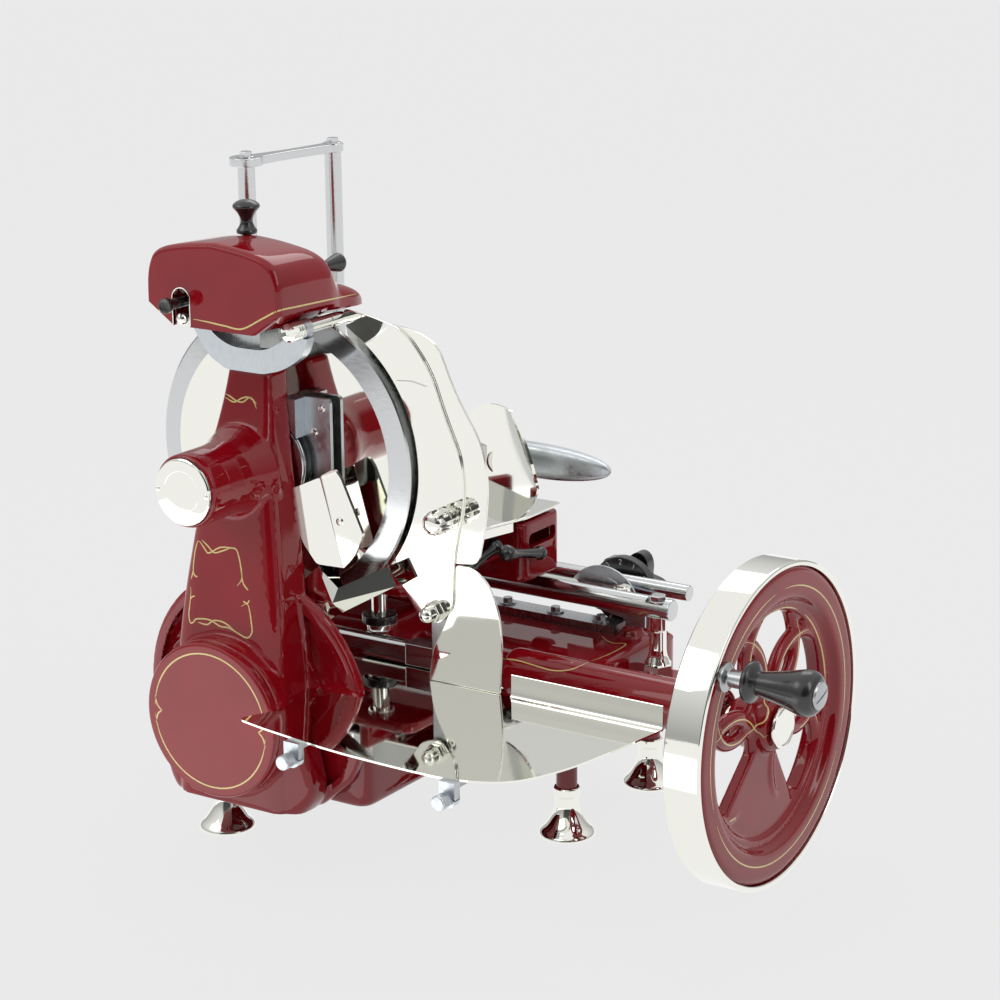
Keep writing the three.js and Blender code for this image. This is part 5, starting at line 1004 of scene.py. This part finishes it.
# Knobs of the sharpener
seat = CROWN + 80.9
waist = flowing([(8.4, 6), (6.8, 9.4), (6.3, 12.4), (7, 16), (9.2, 20.4), (12.4, 24.4)], 5)
top = moved([(0, -13), (5, -13), (5, 0), (10.2, 0), (10.6, 0.8), (10.6, 3), (9.6, 4.4)] + waist
            + [(13.8, 26), (14, 27.6), (13.2, 29.4), (10, 32), (6, 33.5), (0, 34)], 0, seat)
piece(solid("hood_knob_turned", turned(top, "z", -6, -44, 0)), "cover_knob", edge=0.25, angle=40)
side = [(0, -140.4), (4, -140.6), (6.2, -141.4), (7, -142), (7.7, -141.8), (8, -141), (8, -137.6), (7.4, -136.6),
        (5.9, -134.4), (5.5, -132), (5.5, -74), (4.5, -74), (4.5, -54.3), (0, -54.3)]
piece(solid("side_knob_turned", turned(side, "y", -35.5, 0, CROWN + 20)), "side_knob", edge=0.25, angle=40)
stud = [(0, -122), (3, -121.6), (5.6, -119.8), (6.6, -117), (6, -114), (4, -112), (4, -104), (0, -104)]
piece(solid("hood_ball_stud", turned(stud, "y", -34, 0, CROWN + 3)), slot="chrome", body="frame", edge=0.2, angle=40)

# Sharpener stones, each with its recessed face
for i, (x, y, z) in enumerate([(-22, -18, -6), (20, 7, -11)], 1):
    stone = [(4.8, y + 0.3), (13.6, y + 0.3), (14, y + 0.8), (14, y + 5), (11, y + 7.6), (10, y + 8), (7, y + 8),
             (6.4, y + 7.2), (4.8, y + 7.2), (4.8, y + 0.3)]
    piece(solid(f"stone_wheel_{i}", turned(stone, "y", x, 0, CROWN + z)), f"grinding_stone_{i}", edge=0.2)

# Slice thickness control: two half discs, the numbered dial and its star knob
X_DIAL, Z_DIAL = 192, 220
bracket = rounded([(221, 197, 0), (246, 197, 0), (246, 214, 6), (206, 236, 10), (178, 232, 8), (178, 210, 8),
                   (206, 206, 6), (221, 204, 4)])
plates = solid("control_half_discs", sheet(disc(X_DIAL, Z_DIAL - 6, 47, 0, 180, 256), "xz", 319.4, 2.6))
join(plates, sheet(disc(X_DIAL, Z_DIAL - 6, 35, 0, 180, 256), "xz", 318, 2), sheet(bracket, "xz", 321, 9))
cut(plates, bar(5.8, 324, 331, "y", X_DIAL, 0, Z_DIAL))
piece(plates, "control_bracket", look=aluminium, edge=0.5)
dial = [(0, 324.3), (5.5, 324.3), (5.5, 362), (38.6, 362), (39.6, 362.5), (40, 363.6), (40, 373), (39, 374), (14, 374),
        (14, 381), (0, 381)]
star = []
for k in range(160):
    t = 2 * math.pi * k / 160
    out = 27 + 17 * ((math.cos(5 * t) + 1) / 2) ** 0.7
    star.append(polar(X_DIAL, Z_DIAL, out, t))
dial = solid("thickness_dial", turned(dial, "y", X_DIAL, 0, Z_DIAL))
join(dial, sheet(star, "xz", 380, 15))
piece(dial, "thickness_knob", edge=0.9, angle=40)

# Painted lines: thin strips laid on the surface that a ray meets
CAMERA_TURN = (Matrix.Rotation(math.radians(AZIMUTH), 4, "Z") @ Matrix.Rotation(math.radians(90 - ELEVATION), 4, "X")
               @ Matrix.Rotation(math.radians(ROLL), 4, "Z"))


def from_eye(x, y):
    """Ray from the camera through a point of the picture"""
    way = CAMERA_TURN.to_3x3() @ Vector((x - PHOTO_PX / 2, PHOTO_PX / 2 - y, -FOCAL_PX))
    return place(*CAMERA_PLACE), way.normalized()


def from_side(y, z):
    """Ray that runs onto the flywheel's face along its axis"""
    return place(600, y, z), Vector((-1, 0, 0))


def painted(name, target, lines, body, look, wide=1.6, shoot=from_eye, steps=8, lift=0.16, broken=5):
    """Strips along lines of points, each laid on the target's surface and tapered at its ends"""
    bpy.context.view_layer.update()
    tree = BVHTree.FromObject(target, bpy.context.evaluated_depsgraph_get())
    strips = []
    for line in lines:
        points = flowing(line, steps) if len(line) > 2 else line
        run = []
        for point in points + [None]:
            hit = tree.ray_cast(*shoot(*point)) if point else (None, None, None, None)
            if hit[0] is None or (run and (hit[0] - run[-1][0]).length > broken * MM * 2):
                if len(run) > 3:
                    strips.append(run)
                run = []
            if hit[0] is not None:
                run.append((hit[0], hit[1]))
    parts = []
    for run in strips:
        count = len(run) - 1
        rings = []
        for i, (spot, normal) in enumerate(run):
            along = (run[min(i + 1, count)][0] - run[max(i - 1, 0)][0]).normalized()
            across = normal.cross(along).normalized()
            share = min(1, 0.25 + 2.5 * min(i, count - i) / count * 2)
            side = across * wide / 2 * share * MM
            up, down = normal * lift * MM, normal * -0.25 * MM
            rings.append([(spot + side * a + (up if b > 0 else down)) / MM - Vector(SHIFT)
                          for a, b in ((-1, -1), (1, -1), (1, 1), (-1, 1))])
        parts.append(skin([[tuple(p) for p in ring] for ring in rings]))
    made = solid(name, *parts)
    made.data.materials.append(look)
    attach(made, body)
    return made


PANEL = [
    [(198, 540.5), (195.5, 549.3), (193.8, 561.8), (193, 572), (191.2, 578.8)],
    [(193, 570), (194.5, 575), (197.5, 577)],
    [(198, 540.5), (201, 543), (205.7, 550.2), (209.3, 552.9), (220, 547.5), (230.7, 547.9), (236, 549.3),
     (238.8, 556.4), (241.4, 570.7), (241.5, 580), (237, 585.9)],
    [(241.4, 570.7), (243.2, 583), (248.2, 590.4)],
    [(202, 540), (208, 546), (214, 552.5), (222, 551), (230.7, 547.9)],
    [(190.5, 586.8), (191, 592), (190, 602.9), (189, 615), (190.5, 622.5), (193.5, 622), (196.8, 618.9), (209.3, 619.8),
     (220, 626.1), (228.9, 627.9), (237.9, 633.2), (245, 637.3), (249.5, 636.8), (252.1, 631.4), (251.3, 622.5),
     (249.5, 610), (247, 604), (241.4, 606.4)],
    [(194.8, 595.7), (191, 598), (190, 602.9)],
    [(243.2, 601.1), (247, 603.5), (249.5, 600.2)],
    [(198, 622), (207, 624.5), (214, 620.5), (224, 622.5), (234, 630)],
]
FLOURISH = [[(208, 402.9), (212.9, 395.7), (219.1, 393.9), (227.1, 398.4), (234.3, 402), (241.4, 398.4), (247.7, 397.1),
             (253, 400.2), (256.6, 408.6)],
            [(208, 399.5), (215, 399), (222, 393.5), (229, 395.5), (236, 400.5), (243, 402), (250, 397.5),
             (256.6, 404)]]
painted("column_pinstripes", column, PANEL + FLOURISH, "frame", gold_paint, wide=1.5)
HOOD_LINE = [[(147.5, 301), (152, 305.5), (158, 310), (163, 311.5)],
             [(193, 319), (208, 322), (225, 326), (242, 329), (262, 319),
             (278, 311), (300, 306), (330, 299.5), (356, 294)]]
painted("hood_pinstripe", cover, HOOD_LINE, "frame", gold_paint)
BASE_LINE = [[(499.2, 658.5), (516.8, 660.3), (539, 666.8), (553.8, 670.5), (570.4, 669.6), (588.9, 662.2),
              (611, 653.3), (625.8, 644.3), (613.1, 643.1), (605.9, 640), (601.8, 635.9)]]
painted("base_pinstripe", base, BASE_LINE, "frame", gold_paint, wide=1.4)


def from_front(x, z):
    """Ray that runs onto a face along Y"""
    return place(x, -400, z), Vector((0, 1, 0))


COVER_LINE = 72
arcs = []
for middle in (90, 270):
    arcs.append([polar(0, DRIVE_Z, COVER_LINE, math.radians(t)) for t in range(middle - 86, middle + 87, 4)])
for way in (1, -1):
    for side in (1, -1):
        arcs.append([(way * 71.4, DRIVE_Z + side * 15), (way * 70, DRIVE_Z + side * 8),
                     (way * 67.6, DRIVE_Z + side * 3.5), (way * 63, DRIVE_Z)])
painted("cover_pinstripe", drive_disc, arcs, "frame", gold_paint, shoot=from_front, steps=3)

RIM_LINE, SLOPE_LINE = 145, 120.5
wheel_lines = [[polar(WHEEL_Y, DRIVE_Z, r, math.radians(t)) for t in range(start, end + 1, 3)]
               for r, start, end in ((RIM_LINE, -20, 90), (RIM_LINE, 96, 200), (RIM_LINE, 206, 334),
                                     (SLOPE_LINE, 64, 116), (SLOPE_LINE, 124, 176), (SLOPE_LINE, 4, 56))]
for lead in map(math.radians, LOOP_TURNS):
    centre = polar(WHEEL_Y, DRIVE_Z, LOOP_OUT, lead)
    crest = [polar(*centre, LOOP_RADIUS, lead + math.radians(t)) for t in range(60, 301, 5)]
    wheel_lines.append([(y, z) for y, z in crest if z > DRIVE_Z - 12 or abs(y - WHEEL_Y) > 62])
painted("wheel_pinstripes", wheel, wheel_lines, "flywheel", gold_paint, shoot=from_side, steps=3, wide=1.5,
        broken=1.5)

# Numbers round the dial, each drawn with strokes in a field one high
STROKES = {
    "0": [[(0.3, 1), (0.05, 0.8), (0, 0.5), (0.05, 0.2), (0.3, 0), (0.55, 0.2), (0.6, 0.5), (0.55, 0.8), (0.3, 1)]],
    "1": [[(0.1, 0.8), (0.2, 0.87), (0.3, 1)], [(0.3, 1), (0.3, 0.5), (0.3, 0)]],
    "2": [[(0.02, 0.75), (0.1, 0.95), (0.3, 1), (0.55, 0.85), (0.5, 0.55), (0.2, 0.25), (0, 0)],
          [(0, 0), (0.3, 0), (0.6, 0)]],
    "3": [[(0, 0.85), (0.3, 1), (0.55, 0.8), (0.45, 0.58), (0.25, 0.52)],
          [(0.25, 0.52), (0.5, 0.45), (0.6, 0.25), (0.3, 0), (0, 0.12)]],
    "4": [[(0.45, 0), (0.45, 0.5), (0.45, 1)], [(0.45, 1), (0.2, 0.6), (0, 0.3)], [(0, 0.3), (0.3, 0.3), (0.62, 0.3)]],
    "5": [[(0.55, 1), (0.3, 1), (0.08, 1)], [(0.08, 1), (0.06, 0.8), (0.04, 0.56)],
          [(0.04, 0.56), (0.3, 0.64), (0.58, 0.45), (0.55, 0.15), (0.3, 0), (0, 0.1)]],
    "6": [[(0.5, 0.97), (0.2, 0.8), (0.03, 0.45), (0.08, 0.1), (0.3, 0), (0.55, 0.12), (0.58, 0.4), (0.35, 0.58),
           (0.05, 0.4)]],
    "7": [[(0, 1), (0.3, 1), (0.6, 1)], [(0.6, 1), (0.35, 0.5), (0.2, 0)]],
    "8": [[(0.3, 0.54), (0.06, 0.75), (0.3, 1), (0.54, 0.75), (0.3, 0.54), (0, 0.28), (0.3, 0), (0.6, 0.28),
           (0.3, 0.54)]],
    "9": [[(0.55, 0.6), (0.25, 0.42), (0.02, 0.6), (0.05, 0.88), (0.3, 1), (0.52, 0.88), (0.57, 0.55), (0.4, 0.2),
           (0.1, 0.03)]],
}
marks = []
for k in range(12):
    turn = math.radians(30 * k + 35)
    for slot_at, figure in enumerate(str(k)):
        for stroke in STROKES[figure]:
            shifted = []
            for u, v in stroke:
                out = 31.6 + 5.4 * v
                sweep = (u - 0.3 * len(str(k)) + 0.72 * slot_at) * 5.4
                shifted.append((X_DIAL + out * math.cos(turn) - sweep * -math.sin(turn),
                                Z_DIAL + out * math.sin(turn) - sweep * math.cos(turn)))
            marks.append(shifted)


def from_dial(x, z):
    """Ray that runs onto the face of the dial along Y"""
    return place(x, 340, z), Vector((0, 1, 0))


painted("dial_numbers", dial, marks, BODY_OF["thickness_knob"], white_paint, wide=0.9, shoot=from_dial,
        steps=4, lift=0.12)


# Cone knob on the sharpener's head, moulded round its stem
cone = [(0, -0.5), (4.8, -0.5), (4.8, 0), (9.8, 20.8), (9.9, 22), (9.4, 23.6), (8, 24.5), (4, 25), (0, 25.1)]
piece(solid("cone_knob_turned", turned(cone, "y", 58, 0, CROWN + 46)), slot="black_plastic", body="frame", edge=0.3)


# Floor, light and camera
def stage_scene():
    """Pale floor, studio light and the camera of the photograph"""
    bpy.ops.mesh.primitive_plane_add(size=60)
    floor = bpy.context.object
    floor.name = "floor"
    made = bpy.data.materials.new("pale_paper")
    made.use_nodes = True
    tree = made.node_tree
    tree.nodes.clear()
    path = add(tree, "ShaderNodeLightPath")
    seen = add(tree, "ShaderNodeMath", {"operation": "MAXIMUM"},
               {0: path.outputs["Is Camera Ray"], 1: path.outputs["Is Glossy Ray"]})
    seen = add(tree, "ShaderNodeMath", {"operation": "MAXIMUM"},
               {0: seen.outputs[0], 1: path.outputs["Is Transmission Ray"]})
    share = add(tree, "ShaderNodeMath", {"operation": "MULTIPLY", 1: 0.95}, {0: seen.outputs[0]})
    paper = add(tree, "ShaderNodeBsdfDiffuse", {"Color": linear("dcdcdc")})
    tint = add(tree, "ShaderNodeMix", {"data_type": "RGBA", 6: linear("ffffff"), 7: linear(BACKGROUND)},
               {0: path.outputs["Is Camera Ray"]}).outputs[2]
    glow = add(tree, "ShaderNodeEmission", {}, {"Color": tint})
    mix = add(tree, "ShaderNodeMixShader", {}, {0: share.outputs[0], 1: paper.outputs[0], 2: glow.outputs[0]})
    add(tree, "ShaderNodeOutputMaterial", {}, {"Surface": mix.outputs[0]})
    floor.data.materials.append(made)

    # Studio: bright overhead, dimmer at eye level, and a dark end of the room behind the camera
    world = bpy.data.worlds.new("studio")
    world.use_nodes = True
    bpy.context.scene.world = world
    tree = world.node_tree
    tree.nodes.clear()
    where = add(tree, "ShaderNodeTexCoord").outputs["Generated"]
    high = add(tree, "ShaderNodeSeparateXYZ", {}, {0: where}).outputs["Z"]
    shade = ramp(tree, high, 0.42, 0.95, 0.05, 0.75)
    facing = add(tree, "ShaderNodeVectorMath", {"operation": "DOT_PRODUCT", 1: (0.58, -0.78, 0.23)}, {0: where})
    dark = ramp(tree, facing.outputs["Value"], 1, 0.12, 0.78, 0.9)
    both = add(tree, "ShaderNodeMath", {"operation": "MULTIPLY"}, {0: shade, 1: dark}).outputs[0]
    back = add(tree, "ShaderNodeBackground", {"Color": linear("ffffff")}, {"Strength": both})
    add(tree, "ShaderNodeOutputWorld", {}, {"Surface": back.outputs[0]})

    # Lamps: place, size in mm, watts
    lamps = [
        ("key", (-1300, -1500, 2300), 1700, 1300, 12),
        ("fill", (2500, -300, 1700), 700, 1500, 8),
        ("rear", (-300, 1900, 2500), 1800, 1200, 12),
        ("bounce", (-300, -650, 4), 1400, 800, 3.5),
    ]
    for name, (x, y, z), wide, tall, power in lamps:
        data = bpy.data.lights.new(name, "AREA")
        data.shape = "RECTANGLE"
        data.size = wide * MM
        data.size_y = tall * MM
        data.energy = power
        lamp = bpy.data.objects.new(name, data)
        bpy.context.scene.collection.objects.link(lamp)
        lamp.location = place(x, y, z)
        lamp.visible_camera = False
        aim = place(160, 80, 330) - lamp.location
        if name == "bounce":
            aim = Vector((0, 0, 1))
        lamp.rotation_euler = aim.to_track_quat("-Z", "Y").to_euler()

    data = bpy.data.cameras.new("camera")
    data.sensor_width = SENSOR
    data.lens = FOCAL_PX / PHOTO_PX * SENSOR
    camera = bpy.data.objects.new("camera", data)
    bpy.context.scene.collection.objects.link(camera)
    camera.matrix_world = Matrix.Translation(place(*CAMERA_PLACE)) @ CAMERA_TURN
    bpy.context.scene.camera = camera


stage_scene()
bpy.context.scene.view_settings.view_transform = "Standard"
